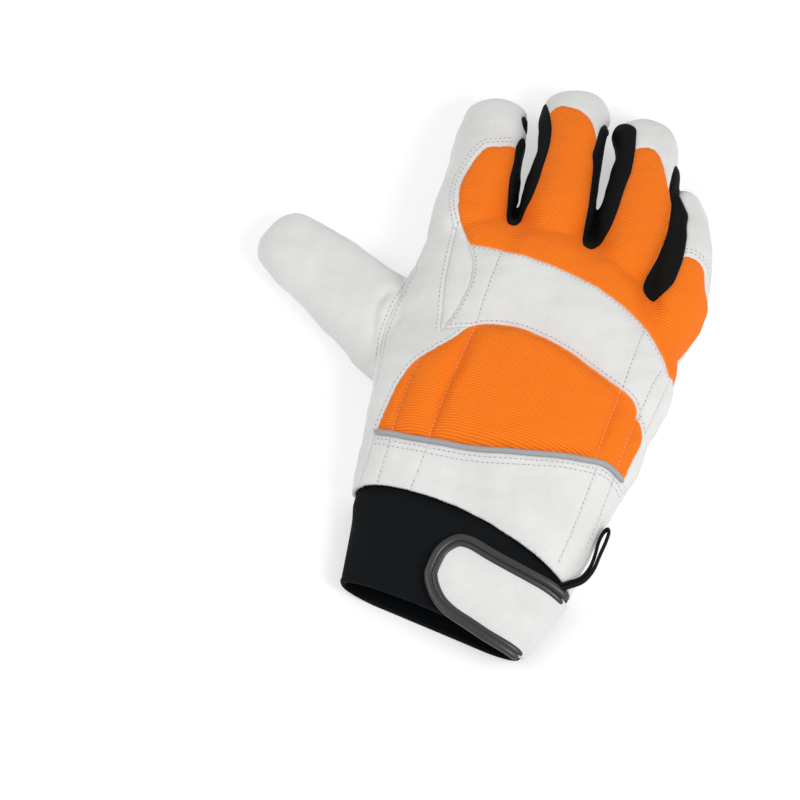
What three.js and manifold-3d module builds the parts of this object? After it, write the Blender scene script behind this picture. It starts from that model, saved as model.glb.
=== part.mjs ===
// A right-hand chainsaw glove lying palm down: leather palm and thumb, orange knuckle fabric and
// padded back panel, black finger sides, knit cuff, closure strap and hang loop.
// Millimetres. X runs from the thumb to the little finger, Y from the cuff to the fingertips, Z up.
import * as THREE from 'three';
import { mergeVertices } from 'three/addons/utils/BufferGeometryUtils.js';
import Module from 'manifold-3d';

const wasm = await Module();
wasm.setup();

// Hand
const palmWidth = 128;
const palmLength = 134;
const palmHeight = 46;
const hemWidth = 110;
const hemHeight = 29;

// Knit cuff
const cuffLength = 47;
const cuffWidth = 85;
const cuffHeight = 20;
const cuffTuck = 9;

// Fingers and thumb: full widths across each one, heights over the surface that the glove lies on
const indexLength = 103;
const indexWidth = 33;
const middleLength = 113;
const middleWidth = 32.5;
const ringLength = 112;
const ringWidth = 32.5;
const pinkyLength = 93;
const pinkyWidth = 25;
const fingerHeight = 40;
const thumbLength = 96.5;
const thumbWidth = 42;
const thumbHeight = 27;

// Walls and clearances
const leatherWall = 1.6;
const padThickness = 3.4;
const knitWall = 2.2;
const seamGap = 0.3;

// Closure strap, piping and hang loop
const strapLength = 66;
const strapWidth = 36;
const strapWall = 1.8;
const strapPipingWidth = 5.5;
const strapPipingHeight = 3.4;
const pipingWidth = 2.5;
const loopLength = 32;
const loopEye = 3;
const loopTape = 1;
const loopTapeWidth = 3;

// Levels above the surface down to which each group of panels reaches
const knuckleLevel = 14;
const backLevel = 18;
const fourchetteLevel = 9;
const thumbPatchLevel = 9;
const strapSeamLevel = 9;

// Facets around each tube
const handPoints = 26;
const fingerPoints = 15;
const thumbPoints = 14;

// Roundness of a tube's sides, back and underside: 2 is an ellipse, more is squarer
const handPowers = { side: 2.4, back: 2.3, palm: 3.2 };
const fingerPowers = { side: 2.2, back: 2.2, palm: 2.6 };
const cuffPowers = { side: 2.1, back: 2.2, palm: 2.8 };

// How high up a section is widest, as a share of its height
const wideLevel = 0.42;
const cuffWideLevel = 0.45;

// How far the leather underneath would bulge if the surface it lies on did not flatten it
const flattening = 1;

// The least half width and half height to which a hollow is drawn in
const thinnest = 0.6;

const skyHeight = 2 * palmHeight;

const finishes = {
  leather: { color: 0xdfdfdc, roughness: 0.62, metalness: 0 },
  orange: { color: 0xf5761a, roughness: 0.85, metalness: 0 },
  fourchette: { color: 0x17181b, roughness: 0.8, metalness: 0 },
  knit: { color: 0x191a1e, roughness: 0.9, metalness: 0 },
  reflective: { color: 0xaeb2b6, roughness: 0.45, metalness: 0.1 },
  darkPiping: { color: 0x2c2d30, roughness: 0.5, metalness: 0 },
  tape: { color: 0x151619, roughness: 0.8, metalness: 0 },
};

const mix = (from, to, share) => from + (to - from) * share;
const curved = (value, power) => Math.sign(value) * Math.abs(value) ** (2 / power);

// The hem of the leather falls away towards the little finger.
function hemLine(x) {
  const fall = 0.12 * palmLength;
  return cuffLength - fall * ((x + 0.45 * palmWidth / 2) / (1.2 * palmWidth / 2)) ** 2;
}

// The line where the fingers leave the hand, drawn back at the little finger.
function knuckleLine(x) {
  const start = 0.08 * palmWidth / 2;
  const fall = 0.122 * palmLength;
  const across = Math.max(0, x - start) / (0.69 * palmWidth / 2);
  return cuffLength + palmLength - fall * across ** 2;
}

// The knit rim is cut slightly aslant.
function rimLine(x) {
  return -0.035 * cuffLength - 0.12 * x;
}

// A solid between rings of points, all with the same count, closed by a fan at each end.
function loft(rings) {
  const count = rings[0].length;
  const positions = rings.flat().flatMap((point) => [point.x, point.y, point.z]);
  const index = [];
  for (let row = 0; row + 1 < rings.length; row++) {
    for (let k = 0; k < count; k++) {
      const a = row * count + k;
      const b = row * count + ((k + 1) % count);
      index.push(a, a + count, b, b, a + count, b + count);
    }
  }
  for (const [row, flip] of [[0, true], [rings.length - 1, false]]) {
    const centre = positions.length / 3;
    const middle = new THREE.Vector3();
    rings[row].forEach((point) => middle.addScaledVector(point, 1 / count));
    positions.push(middle.x, middle.y, middle.z);
    for (let k = 0; k < count; k++) {
      const a = row * count + k;
      const b = row * count + ((k + 1) % count);
      index.push(...(flip ? [a, b, centre] : [a, centre, b]));
    }
  }
  const geometry = new THREE.BufferGeometry();
  geometry.setAttribute('position', new THREE.Float32BufferAttribute(positions, 3));
  geometry.setIndex(index);
  return solid(geometry);
}

function solid(geometry) {
  const bare = geometry.clone();
  bare.deleteAttribute('normal');
  bare.deleteAttribute('uv');
  const merged = mergeVertices(bare, 1e-4);
  const mesh = new wasm.Mesh({
    numProp: 3,
    vertProperties: new Float32Array(merged.attributes.position.array),
    triVerts: new Uint32Array(merged.index.array),
  });
  return new wasm.Manifold(mesh);
}

// A closed plan outline drawn up into a prism between two levels.
function prism(outline, low, high = skyHeight) {
  const shape = new THREE.Shape(outline);
  const geometry = new THREE.ExtrudeGeometry(shape, { depth: high - low, bevelEnabled: false });
  return solid(geometry.translate(0, 0, low));
}

// The outline moved outwards by a distance, with its corners limited.
function grow(outline, distance) {
  const turn = THREE.ShapeUtils.area(outline) > 0 ? 1 : -1;
  return outline.map((point, k) => {
    const before = outline[(k + outline.length - 1) % outline.length];
    const after = outline[(k + 1) % outline.length];
    const first = point.clone().sub(before).normalize();
    const second = after.clone().sub(point).normalize();
    const normal = new THREE.Vector2(first.y + second.y, -first.x - second.x).normalize();
    const stretch = Math.max(0.4, normal.dot(new THREE.Vector2(first.y, -first.x)));
    return point.clone().addScaledVector(normal, turn * distance / stretch);
  });
}

// A point round a tube's section: its shares of the half width and of the rise or fall from the
// widest level.
function sectionPoint(angle, powers) {
  const across = curved(Math.cos(angle), powers.side);
  const up = Math.sin(angle);
  const lift = curved(up, up > 0 ? powers.back : powers.palm);
  return { across, lift };
}

// Hand sections from the hem to the knuckles.
// along: share of the way from the hem line to the knuckle line
// left, right: shares of half the palm width; high: share of the palm height
// low: share of that section's own height; pad: share of the pad thickness under the back
const handSections = [
  { along: 0.0, left: -0.78, right: 0.94, low: 0, high: 0.63, pad: 0.0 },
  { along: 0.14, left: -0.82, right: 0.97, low: 0, high: 0.77, pad: 0.3 },
  { along: 0.22, left: -0.84, right: 0.99, low: 0, high: 0.87, pad: 1.0 },
  { along: 0.34, left: -0.88, right: 1.01, low: 0, high: 0.94, pad: 1.0 },
  { along: 0.46, left: -0.93, right: 1.02, low: 0, high: 0.97, pad: 1.0 },
  { along: 0.56, left: -0.95, right: 1.03, low: 0, high: 0.97, pad: 1.0 },
  { along: 0.615, left: -0.955, right: 1.03, low: 0, high: 0.945, pad: 0.5 },
  { along: 0.67, left: -0.95, right: 1.035, low: 0, high: 0.975, pad: 0.4 },
  { along: 0.76, left: -0.93, right: 1.04, low: 0, high: 1.0, pad: 0.4 },
  { along: 0.84, left: -0.91, right: 1.045, low: 0, high: 0.99, pad: 0.4 },
  { along: 0.895, left: -0.9, right: 1.045, low: 0, high: 0.965, pad: 0.4 },
  { along: 0.95, left: -0.895, right: 1.04, low: 0, high: 0.945, pad: 0.4 },
  { along: 1.0, left: -0.88, right: 1.01, low: 0.05, high: 0.86, pad: 0.2 },
  { along: 1.05, left: -0.83, right: 0.94, low: 0.16, high: 0.72, pad: 0.0 },
  { along: 1.09, left: -0.72, right: 0.82, low: 0.32, high: 0.52, pad: 0.0 },
];

// Valleys between the knuckles and dents in the leather.
// x, y: shares of half the palm width and of the palm length; across, along: reach; deep: depth
const dents = [
  { x: -0.32, y: 0.98, across: 0.09, along: 0.14, deep: 0.06 },
  { x: 0.22, y: 0.97, across: 0.09, along: 0.14, deep: 0.06 },
  { x: 0.74, y: 0.86, across: 0.09, along: 0.14, deep: 0.06 },
  { x: -0.8, y: 0.58, across: 0.16, along: 0.12, deep: 0.07 },
  { x: 0.1, y: 0.08, across: 0.5, along: 0.05, deep: 0.03 },
];

function dentDepth(x, y) {
  let depth = 0;
  for (const dent of dents) {
    const dx = (x - dent.x * palmWidth / 2) / (dent.across * palmWidth);
    const dy = (y - cuffLength - dent.y * palmLength) / (dent.along * palmLength);
    depth += dent.deep * palmHeight * Math.exp(-(dx * dx + dy * dy) * 2);
  }
  return depth;
}

// The hem's own width and height set the first sections, and the palm's take over above it.
function handSection(row) {
  const palmShare = Math.min(1, row.along / 0.22);
  const narrow = hemWidth / (0.86 * palmWidth);
  const low = hemHeight / (0.63 * palmHeight);
  return {
    left: row.left * palmWidth / 2 * mix(narrow, 1, palmShare),
    right: row.right * palmWidth / 2 * mix(narrow, 1, palmShare),
    high: row.high * palmHeight * mix(low, 1, palmShare),
  };
}

function handRing(row, inset) {
  const { left, right, high } = handSection(row);
  const points = [];
  for (let k = 0; k < handPoints; k++) {
    const angle = 2 * Math.PI * k / handPoints;
    const { across, lift } = sectionPoint(angle, handPowers);
    const backWall = inset * (1 + row.pad * padThickness / leatherWall);
    const centre = (left + right) / 2;
    const x = centre + ((right - left) / 2 - inset) * across;
    const low = row.low * high;
    const wide = mix(low, high, wideLevel);
    const reach = lift > 0 ? high - wide - backWall : wide - low + (low > 0 ? -inset : flattening);
    const z = wide + reach * lift;
    const y = mix(hemLine(x), knuckleLine(x), row.along);
    const dented = lift > 0 ? z - dentDepth(x, y) * lift : z;
    points.push(new THREE.Vector3(x, y, Math.max(dented, inset)));
  }
  return points;
}

// The hollow needs only every other section under the back, and it runs out past the hem.
function handLoft(inset) {
  const back = { start: 0.3, end: 0.8 };
  const outside = (row) => row.along < back.start || row.along > back.end;
  const needed = (row, k) => inset === 0 || k % 2 === 0 || outside(row);
  const rows = handSections.filter(needed).map((row) => ({ ...row }));
  if (inset > 0) {
    rows[0].along -= 0.08;
    rows.at(-1).along -= 0.02;
  }
  return loft(rows.map((row) => handRing(row, inset)));
}

// Fingers: where each one starts and where its tip lies, and how far its centreline bows.
// x: share of half the palm width; y: share of the palm length past the cuff; lean: tip's sideways
// reach as a share of the length; bow: sideways bow towards the little finger, same share
const fingers = {
  index: { x: -0.62, y: 0.765, lean: -0.1, bow: 0.01, length: indexLength, width: indexWidth },
  middle: { x: -0.06, y: 0.805, lean: -0.14, bow: 0.034, length: middleLength, width: middleWidth },
  ring: { x: 0.44, y: 0.765, lean: -0.125, bow: 0.058, length: ringLength, width: ringWidth },
  pinky: { x: 0.82, y: 0.7, lean: -0.11, bow: 0.067, length: pinkyLength, width: pinkyWidth },
};

// Finger sections from inside the hand to the tip.
// along: share of the length; wide: share of the width; low, high: shares of the finger height
const fingerSections = [
  { along: 0.0, wide: 0.5, low: 0.1, high: 0.55 },
  { along: 0.16, wide: 0.84, low: 0.0, high: 0.85 },
  { along: 0.31, wide: 1.05, low: 0.02, high: 0.96 },
  { along: 0.42, wide: 1.05, low: 0.05, high: 0.94 },
  { along: 0.54, wide: 1.01, low: 0.09, high: 0.89 },
  { along: 0.66, wide: 0.95, low: 0.11, high: 0.83 },
  { along: 0.78, wide: 0.93, low: 0.11, high: 0.75 },
  { along: 0.87, wide: 0.91, low: 0.08, high: 0.67 },
  { along: 0.93, wide: 0.84, low: 0.06, high: 0.6 },
  { along: 0.97, wide: 0.66, low: 0.08, high: 0.52 },
  { along: 1.0, wide: 0.3, low: 0.15, high: 0.4 },
];

// Thumb sections, with the same columns as shares of the thumb's own sizes.
const thumbSections = [
  { along: 0.0, wide: 0.8, low: 0.1, high: 0.9 },
  { along: 0.13, wide: 1.1, low: 0.0, high: 1.12 },
  { along: 0.24, wide: 1.12, low: 0.0, high: 1.08 },
  { along: 0.36, wide: 1.0, low: 0.0, high: 1.0 },
  { along: 0.5, wide: 0.94, low: 0.01, high: 0.93 },
  { along: 0.66, wide: 0.86, low: 0.03, high: 0.86 },
  { along: 0.8, wide: 0.79, low: 0.03, high: 0.79 },
  { along: 0.9, wide: 0.72, low: 0.03, high: 0.73 },
  { along: 0.96, wide: 0.62, low: 0.08, high: 0.64 },
  { along: 1.0, wide: 0.36, low: 0.18, high: 0.5 },
];

const thumb = { x: -0.6, y: 0.54, reachX: -0.91, reachY: 0.43 };

function fingerCentre(finger, along) {
  const reach = finger.length * Math.sqrt(1 - finger.lean ** 2);
  const sway = finger.lean * along + 4 * finger.bow * along * (1 - along);
  return new THREE.Vector2(
    finger.x * palmWidth / 2 + sway * finger.length,
    cuffLength + finger.y * palmLength + reach * along,
  );
}

function thumbCentre(along) {
  return new THREE.Vector2(
    thumb.x * palmWidth / 2 + thumb.reachX * thumbLength * along,
    cuffLength + thumb.y * palmLength + thumb.reachY * thumbLength * along,
  );
}

// A closed sleeve round a centreline. The inset draws its walls and tip in for the hollow, which
// needs only every other section.
function sleeve(centreAt, sections, size, inset) {
  const needed = (row, k) => inset === 0 || k % 2 === 0 || row.along === 1;
  const rings = sections.filter(needed).map((row) => {
    const along = row.along * (1 - (row.along > 0.5 ? inset / size.length : 0));
    const centre = centreAt(along);
    const ahead = centreAt(along + 0.01).sub(centreAt(along - 0.01)).normalize();
    const half = Math.max(thinnest, row.wide * size.width / 2 - inset);
    const low = row.low * size.height - (row.low === 0 ? flattening : 0);
    const high = row.high * size.height;
    const wide = mix(low, high, wideLevel);
    const ring = [];
    for (let k = 0; k < size.points; k++) {
      const angle = 2 * Math.PI * k / size.points;
      const { across, lift } = sectionPoint(angle, fingerPowers);
      const reach = Math.max(thinnest, (lift > 0 ? high - wide : wide - low) - inset);
      const x = centre.x + ahead.y * half * across;
      const y = centre.y - ahead.x * half * across;
      ring.push(new THREE.Vector3(x, y, Math.max(wide + reach * lift, inset)));
    }
    return ring;
  });
  return loft(rings);
}

function fingerSleeve(finger, inset) {
  const size = {
    length: finger.length,
    width: finger.width,
    height: fingerHeight,
    points: fingerPoints,
  };
  return sleeve((along) => fingerCentre(finger, along), fingerSections, size, inset);
}

function thumbSleeve(inset) {
  const size = {
    length: thumbLength,
    width: thumbWidth,
    height: thumbHeight,
    points: thumbPoints,
  };
  return sleeve(thumbCentre, thumbSections, size, inset);
}

function handSolid(inset) {
  let body = handLoft(inset).add(thumbSleeve(inset));
  for (const finger of Object.values(fingers)) body = body.add(fingerSleeve(finger, inset));
  return body;
}

// Seam curves on the back of the hand, as shares of half the palm width and of the palm length.
const seams = {
  bandUpper: [
    [-0.56, 0.876], [-0.42, 0.894], [-0.23, 0.898], [-0.05, 0.9], [0.17, 0.89],
    [0.34, 0.868], [0.56, 0.831], [0.8, 0.772], [1.0, 0.691], [1.11, 0.596],
  ],
  bandLower: [
    [-0.53, 0.55], [-0.31, 0.588], [-0.08, 0.606], [0.22, 0.603],
    [0.47, 0.581], [0.72, 0.532], [0.86, 0.492], [0.97, 0.434], [1.05, 0.375],
  ],
  bandRight: [[1.03, 0.654], [1.025, 0.537], [1.0, 0.41]],
  padLeft: [
    [-0.535, 0.545], [-0.578, 0.463], [-0.625, 0.412], [-0.672, 0.353],
    [-0.719, 0.287], [-0.734, 0.23], [-0.722, 0.185],
  ],
  padRight: [[1.06, 0.38], [1.07, 0.3], [1.03, 0.24]],
  piping: [
    [-0.719, 0.165], [-0.484, 0.176], [-0.219, 0.18], [0.094, 0.19], [0.297, 0.209],
    [0.578, 0.248], [0.797, 0.264], [0.94, 0.25], [1.04, 0.205],
  ],
  gussetStraight: [[-0.7, 0.955], [-0.635, 0.74], [-0.54, 0.548]],
  gussetCurve: [
    [-0.56, 0.87], [-0.5, 0.825], [-0.467, 0.772], [-0.455, 0.728],
    [-0.465, 0.684], [-0.484, 0.632], [-0.53, 0.55],
  ],
  knuckleLeft: [[-0.555, 0.88], [-0.625, 0.926], [-0.69, 0.97], [-0.735, 1.015], [-0.765, 1.08]],
  thumbSeam: [
    [-0.885, 0.79], [-0.905, 0.7], [-0.93, 0.617], [-0.93, 0.515], [-0.9, 0.43], [-0.88, 0.34],
  ],
  thumbPalmSeam: [
    [-0.97, 0.3], [-0.78, 0.29], [-0.62, 0.33], [-0.48, 0.42], [-0.42, 0.53],
    [-0.44, 0.64], [-0.54, 0.74], [-0.7, 0.8], [-0.97, 0.82],
  ],
};

function handPoint([x, y]) {
  return new THREE.Vector2(x * palmWidth / 2, cuffLength + y * palmLength);
}

const curve = (name) => seams[name].map(handPoint);
const backwards = (points) => [...points].reverse();

// Where the knuckle fabric's strip lies on each finger: shares of the finger's half width, and the
// shares of its length where the strip starts and where its round end stops.
const fabricStrips = {
  index: { left: -0.37, right: 0.66, start: 0.37, end: 0.7 },
  middle: { left: -0.62, right: 0.78, start: 0.22, end: 0.885 },
  ring: { left: -0.5, right: 0.86, start: 0.22, end: 0.83 },
  pinky: { left: -0.22, right: 1.3, start: 0.2, end: 0.61 },
};

function fingerPoint(name, along, across) {
  const finger = fingers[name];
  const centre = fingerCentre(finger, along);
  const ahead = fingerCentre(finger, along + 0.01).sub(fingerCentre(finger, along - 0.01));
  ahead.normalize();
  const half = finger.width / 2;
  return new THREE.Vector2(centre.x + ahead.y * half * across, centre.y - ahead.x * half * across);
}

function stripOutline(name) {
  const { left, right, start, end } = fabricStrips[name];
  const round = 0.13;
  const steps = 6;
  const outline = [];
  for (let k = 0; k <= 4; k++) {
    outline.push(fingerPoint(name, mix(start, end - round, k / 4), right));
  }
  for (let k = 1; k < steps; k++) {
    const angle = Math.PI * k / steps;
    const across = (left + right) / 2 + (right - left) / 2 * Math.cos(angle);
    outline.push(fingerPoint(name, end - round + round * Math.sin(angle) ** 0.8, across));
  }
  for (let k = 4; k >= 0; k--) {
    outline.push(fingerPoint(name, mix(start, end - round, k / 4), left));
  }
  return outline;
}

// The V where two finger backs part, as shares of half the palm width and of the palm length.
const partings = {
  index_middle: { x: -0.32, y: 1.0, left: 'index', right: 'middle' },
  middle_ring: { x: 0.235, y: 0.99, left: 'middle', right: 'ring' },
  ring_pinky: { x: 0.75, y: 0.885, left: 'ring', right: 'pinky' },
};

// How the knuckle fabric's far edge runs from finger to finger through the partings.
// along: share of the finger's length; across: share of its half width
const knuckleEdge = [
  { finger: 'index', along: 0.42, across: 0.6 },
  { parting: 'index_middle' },
  { finger: 'middle', along: 0.28, across: -0.55 },
  { finger: 'middle', along: 0.28, across: 0.7 },
  { parting: 'middle_ring' },
  { finger: 'ring', along: 0.28, across: -0.45 },
  { finger: 'ring', along: 0.22, across: 0.8 },
  { parting: 'ring_pinky' },
  { finger: 'pinky', along: 0.3, across: -0.2 },
];

// Plan lines drawn to this share of half the palm width lie clear of the little finger.
const clearOfHand = 1.4;

function knuckleOutline() {
  const right = clearOfHand * palmWidth / 2;
  const edgePoint = ({ finger, along, across, parting }) => (
    parting ? handPoint([partings[parting].x, partings[parting].y]) : fingerPoint(finger, along, across)
  );
  return [
    ...backwards(curve('bandUpper')),
    ...curve('knuckleLeft'),
    ...knuckleEdge.map(edgePoint),
    new THREE.Vector2(right, fingerPoint('pinky', 0.3, 1).y),
    new THREE.Vector2(right, handPoint(seams.bandUpper.at(-1)).y),
  ];
}

// A fourchette reaches from the parting along both finger sides to near the tips: one outline for
// each side, from the edge on the finger's back out past the finger's side.
function fourchetteOutlines({ x, y, left, right }) {
  const shares = [0, 0.22, 0.44, 0.66, 0.87, 1];
  const past = 1.15;
  const start = handPoint([x, y - 0.012]);
  const strip = (name, side) => {
    const finger = fingers[name];
    const parting = (y - finger.y) * palmLength / finger.length;
    const alongSides = shares.map((share) => mix(parting + 0.04, 0.96, share));
    return [
      start,
      ...alongSides.map((along) => fingerPoint(name, along, side * edgeOn(name, along, side))),
      ...backwards(alongSides).map((along) => fingerPoint(name, along, side * past)),
    ];
  };
  return [strip(left, 1), strip(right, -1)];
}

// How far out on a finger the black strip's upper edge lies: beside the fabric it meets the fabric,
// and past the fabric's end it stays at the side.
function edgeOn(name, along, side) {
  const edge = 0.86;
  const strip = fabricStrips[name];
  const beside = side > 0 ? strip.right : -strip.left;
  return along < strip.end - 0.05 ? Math.min(edge, beside - 0.3) : edge;
}

// Panels cut from the glove's wall in turn: each one keeps what its cutter holds, and the rest loses
// the same cutter grown by the seam gap.
function panelCutters() {
  const cutter = (outlines, low) => (gap) => outlines
    .map((outline) => prism(grow(outline, gap), low - gap))
    .reduce((whole, next) => whole.add(next));
  const strips = Object.keys(fingers).map(stripOutline);
  const band = [
    ...curve('bandUpper').slice(0, -2),
    ...curve('bandRight'),
    ...backwards(curve('bandLower').slice(0, -2)),
    ...backwards(curve('gussetCurve')).slice(1),
  ];
  const pad = [
    ...curve('bandLower'),
    ...curve('padRight'),
    ...backwards(curve('piping')),
    ...backwards(curve('padLeft')),
  ];
  const pipingEdge = (share) => {
    return curve('piping').map((point) => point.add(new THREE.Vector2(0, share * pipingWidth)));
  };
  const piping = [...pipingEdge(0), ...backwards(pipingEdge(-1))];
  const cuffPanel = [
    ...pipingEdge(-1),
    handPoint([clearOfHand, seams.piping.at(-1)[1]]),
    handPoint([clearOfHand, -0.3]),
    handPoint([-0.735, -0.3]),
  ];
  const gusset = [
    ...curve('gussetStraight'),
    ...backwards(curve('gussetCurve')),
    ...curve('knuckleLeft').slice(1, 3),
  ];
  const cutters = {
    knuckle_fabric: cutter([knuckleOutline(), ...strips], knuckleLevel),
    knuckle_band: cutter([band], backLevel),
    back_pad: cutter([pad], backLevel),
    reflective_piping: cutter([piping], backLevel),
    cuff_leather: cutter([cuffPanel], knuckleLevel),
    index_gusset: cutter([gusset], backLevel),
  };
  for (const [name, parting] of Object.entries(partings)) {
    cutters['fourchette_' + name] = cutter(fourchetteOutlines(parting), fourchetteLevel);
  }
  return cutters;
}

// The thumb piece: all of the thumb outside its seam, and a round patch under the ball of the thumb.
function thumbCutter(gap) {
  const outer = -2.4;
  const outside = [
    ...curve('thumbSeam'),
    handPoint([outer, seams.thumbSeam.at(-1)[1]]),
    handPoint([outer, 1.1]),
    handPoint([seams.thumbSeam[0][0] - 0.1, 0.9]),
  ];
  const patch = curve('thumbPalmSeam');
  const below = -1;
  return prism(grow(outside, gap), below)
    .add(prism(grow(patch, gap), below, thumbPatchLevel + gap));
}

// The line up the gap between two fingers, from their parting to past the left one's tip.
function gapLine({ x, y, left, right }) {
  const shares = [0.4, 0.55, 0.7, 0.85, 1.05];
  const middles = shares.map((along) => {
    const side = fingerPoint(left, along, 1);
    const level = (side.y - fingerCentre(fingers[right], 0).y) / fingers[right].length;
    const way = fingerPoint(right, Math.min(level, 1), -1).sub(side);
    return side.add(way.setLength(Math.min(way.length() / 2, 0.12 * fingers[left].width)));
  });
  return [handPoint([x, y]), ...middles];
}

// The leather of each finger, from a line just short of the partings to past the tip.
function fingerCutters() {
  const gaps = Object.values(partings).map(gapLine);
  const far = 2.2 * palmLength;
  const lines = [
    [handPoint([-1.02, 0.97]), handPoint([-1.02, 1.4])],
    ...gaps,
    [handPoint([clearOfHand, 0.7]), handPoint([clearOfHand, 1.2])],
  ];
  const root = (x) => knuckleLine(x) - 0.03 * palmLength;
  const cutters = {};
  Object.keys(fingers).forEach((name, k) => {
    const [left, right] = [lines[k], lines[k + 1]];
    const steps = [0, 0.25, 0.5, 0.75, 1];
    const bottom = steps.map((share) => {
      const x = mix(left[0].x, right[0].x, share);
      return new THREE.Vector2(x, root(x));
    });
    const top = [new THREE.Vector2(right.at(-1).x, far), new THREE.Vector2(left.at(-1).x, far)];
    const outline = [...bottom, ...right, ...top, ...backwards(left)];
    cutters[name + '_leather'] = (gap) => prism(grow(outline, gap), -1);
  });
  return cutters;
}

// Knit cuff sections from the rim to the end tucked into the leather.
// along: share of the way; left, right: shares of half the cuff width; high: share of its height
const cuffSections = [
  { along: -0.25, left: -0.92, right: 0.98, low: 0, high: 0.98 },
  { along: 0.0, left: -0.965, right: 1.035, low: 0, high: 1.0 },
  { along: 0.3, left: -1.02, right: 1.14, low: 0, high: 1.14 },
  { along: 0.55, left: -1.07, right: 1.25, low: 0, high: 1.26 },
  { along: 0.72, left: -1.12, right: 1.335, low: 0, high: 1.32 },
  { along: 0.8, left: -1.125, right: 1.355, low: 1, high: 1.33 },
  { along: 1.0, left: -1.125, right: 1.36, low: 1, high: 1.33 },
];

function cuffRing(row, offset) {
  const floor = row.low * (leatherWall + seamGap);
  const half = cuffWidth / 2;
  const left = row.left * half - offset;
  const right = row.right * half + offset;
  const high = row.high * cuffHeight + offset;
  const bottom = Math.max(floor - offset, 0);
  const wide = cuffWideLevel * high;
  const points = [];
  for (let k = 0; k < handPoints; k++) {
    const angle = 2 * Math.PI * k / handPoints;
    const { across, lift } = sectionPoint(angle, cuffPowers);
    const x = (left + right) / 2 + (right - left) / 2 * across;
    const y = mix(rimLine(x), hemLine(x) + cuffTuck, row.along);
    const reach = lift > 0 ? high - wide : wide + 0.8;
    points.push(new THREE.Vector3(x, y, Math.max(wide + reach * lift, bottom)));
  }
  return points;
}

// The cuff's outer or inner form. Only the strap's forms run on past the rim.
function cuffLoft(offset, start, end) {
  return loft(cuffSections.slice(start, end).map((row) => cuffRing(row, offset)));
}

function knitCuff() {
  const outer = cuffLoft(0, 1);
  const rows = cuffSections.map((row) => ({ ...row }));
  rows.at(-1).along += 0.05;
  const inner = loft(rows.map((row) => {
    const floor = row.low * (leatherWall + seamGap) + knitWall;
    const ring = cuffRing(row, -knitWall);
    ring.forEach((point) => { point.z = Math.max(point.z, floor); });
    return ring;
  }));
  return outer.subtract(inner);
}

// The strap's outline: a round-ended tongue from the little-finger side across the cuff.
// x: share of the strap length from its side seam; upper, lower: shares of the strap width
const strapRows = [
  { x: 1.0, upper: 0.02, lower: -0.02 },
  { x: 0.985, upper: 0.24, lower: -0.13 },
  { x: 0.94, upper: 0.4, lower: -0.27 },
  { x: 0.86, upper: 0.52, lower: -0.42 },
  { x: 0.75, upper: 0.53, lower: -0.53 },
  { x: 0.62, upper: 0.47, lower: -0.6 },
  { x: 0.48, upper: 0.42, lower: -0.67 },
  { x: 0.33, upper: 0.38, lower: -0.71 },
  { x: 0.16, upper: 0.34, lower: -0.74 },
  { x: -0.1, upper: 0.24, lower: -0.76 },
];

// The tongue's tip: shares of half the cuff width and of the cuff length.
const strapTip = { x: -0.13, y: 0.31 };

function strapOutline(inset) {
  const point = (row, side) => new THREE.Vector2(
    strapTip.x * cuffWidth / 2 + (1 - row.x) * strapLength,
    strapTip.y * cuffLength + row[side] * strapWidth,
  );
  const outline = [
    ...strapRows.map((row) => point(row, 'lower')),
    ...backwards(strapRows).map((row) => point(row, 'upper')),
  ];
  return grow(outline, -inset);
}

function strapPieces() {
  const last = cuffSections.length;
  const seat = cuffLoft(seamGap, 0, last);
  const form = (height, outline) => cuffLoft(seamGap + height, 0, last)
    .subtract(seat)
    .intersect(prism(outline, strapSeamLevel));
  const tongue = form(strapWall, strapOutline(strapPipingWidth));
  const piping = form(strapPipingHeight, strapOutline(0))
    .subtract(prism(strapOutline(strapPipingWidth - seamGap), 0));
  return { tongue, piping };
}

// The leather's surface on the little-finger side at a distance along the glove and a level.
function littleFingerSide(y, level) {
  const surface = handSections.map((row) => {
    const { left, right, high } = handSection(row);
    const lift = Math.min(1, Math.max(0, level - wideLevel * high) / ((1 - wideLevel) * high));
    const across = (1 - lift ** handPowers.back) ** (1 / handPowers.side);
    const x = (left + right) / 2 + (right - left) / 2 * across;
    return { x, y: mix(hemLine(right), knuckleLine(right), row.along) };
  });
  const next = Math.max(1, surface.findIndex((point) => point.y > y));
  const [from, to] = [surface[next - 1], surface[next]];
  return mix(from.x, to.x, (y - from.y) / (to.y - from.y));
}

// The hang loop is a teardrop of tape on edge beside the hem, its eye at the far end.
function hangLoop() {
  const baseY = hemLine(palmWidth / 2) + 0.02 * palmLength;
  const eyeStart = 0.35;
  const level = 0.42 * palmHeight;
  const steps = 8;
  const half = (along) => loopTape + loopEye / 2 * Math.sin(Math.PI * along ** 2.2) ** 0.8;
  const side = (turn, start, inset) => {
    const points = [];
    for (let k = 0; k <= steps; k++) {
      const along = mix(start, 1 - inset / loopLength, k / steps);
      const y = baseY + loopLength * along;
      const centre = littleFingerSide(y, level) + 2 * seamGap + half(along);
      points.push(new THREE.Vector2(centre + turn * Math.max(0.2, half(along) - inset), y));
    }
    return points;
  };
  const ring = (start, inset) => [...side(1, start, inset), ...backwards(side(-1, start, inset))];
  const shape = new THREE.Shape(ring(0, 0));
  shape.holes.push(new THREE.Path(ring(eyeStart, loopTape)));
  const geometry = new THREE.ExtrudeGeometry(shape, { depth: loopTapeWidth, bevelEnabled: false });
  return solid(geometry.translate(0, 0, level));
}

// The main body of a cut piece: slivers that a cutter clips off a neighbouring wall are left out.
function mainBody(piece) {
  return piece.decompose().reduce((best, next) => (next.volume() > best.volume() ? next : best));
}

const group = new THREE.Group();

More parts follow.
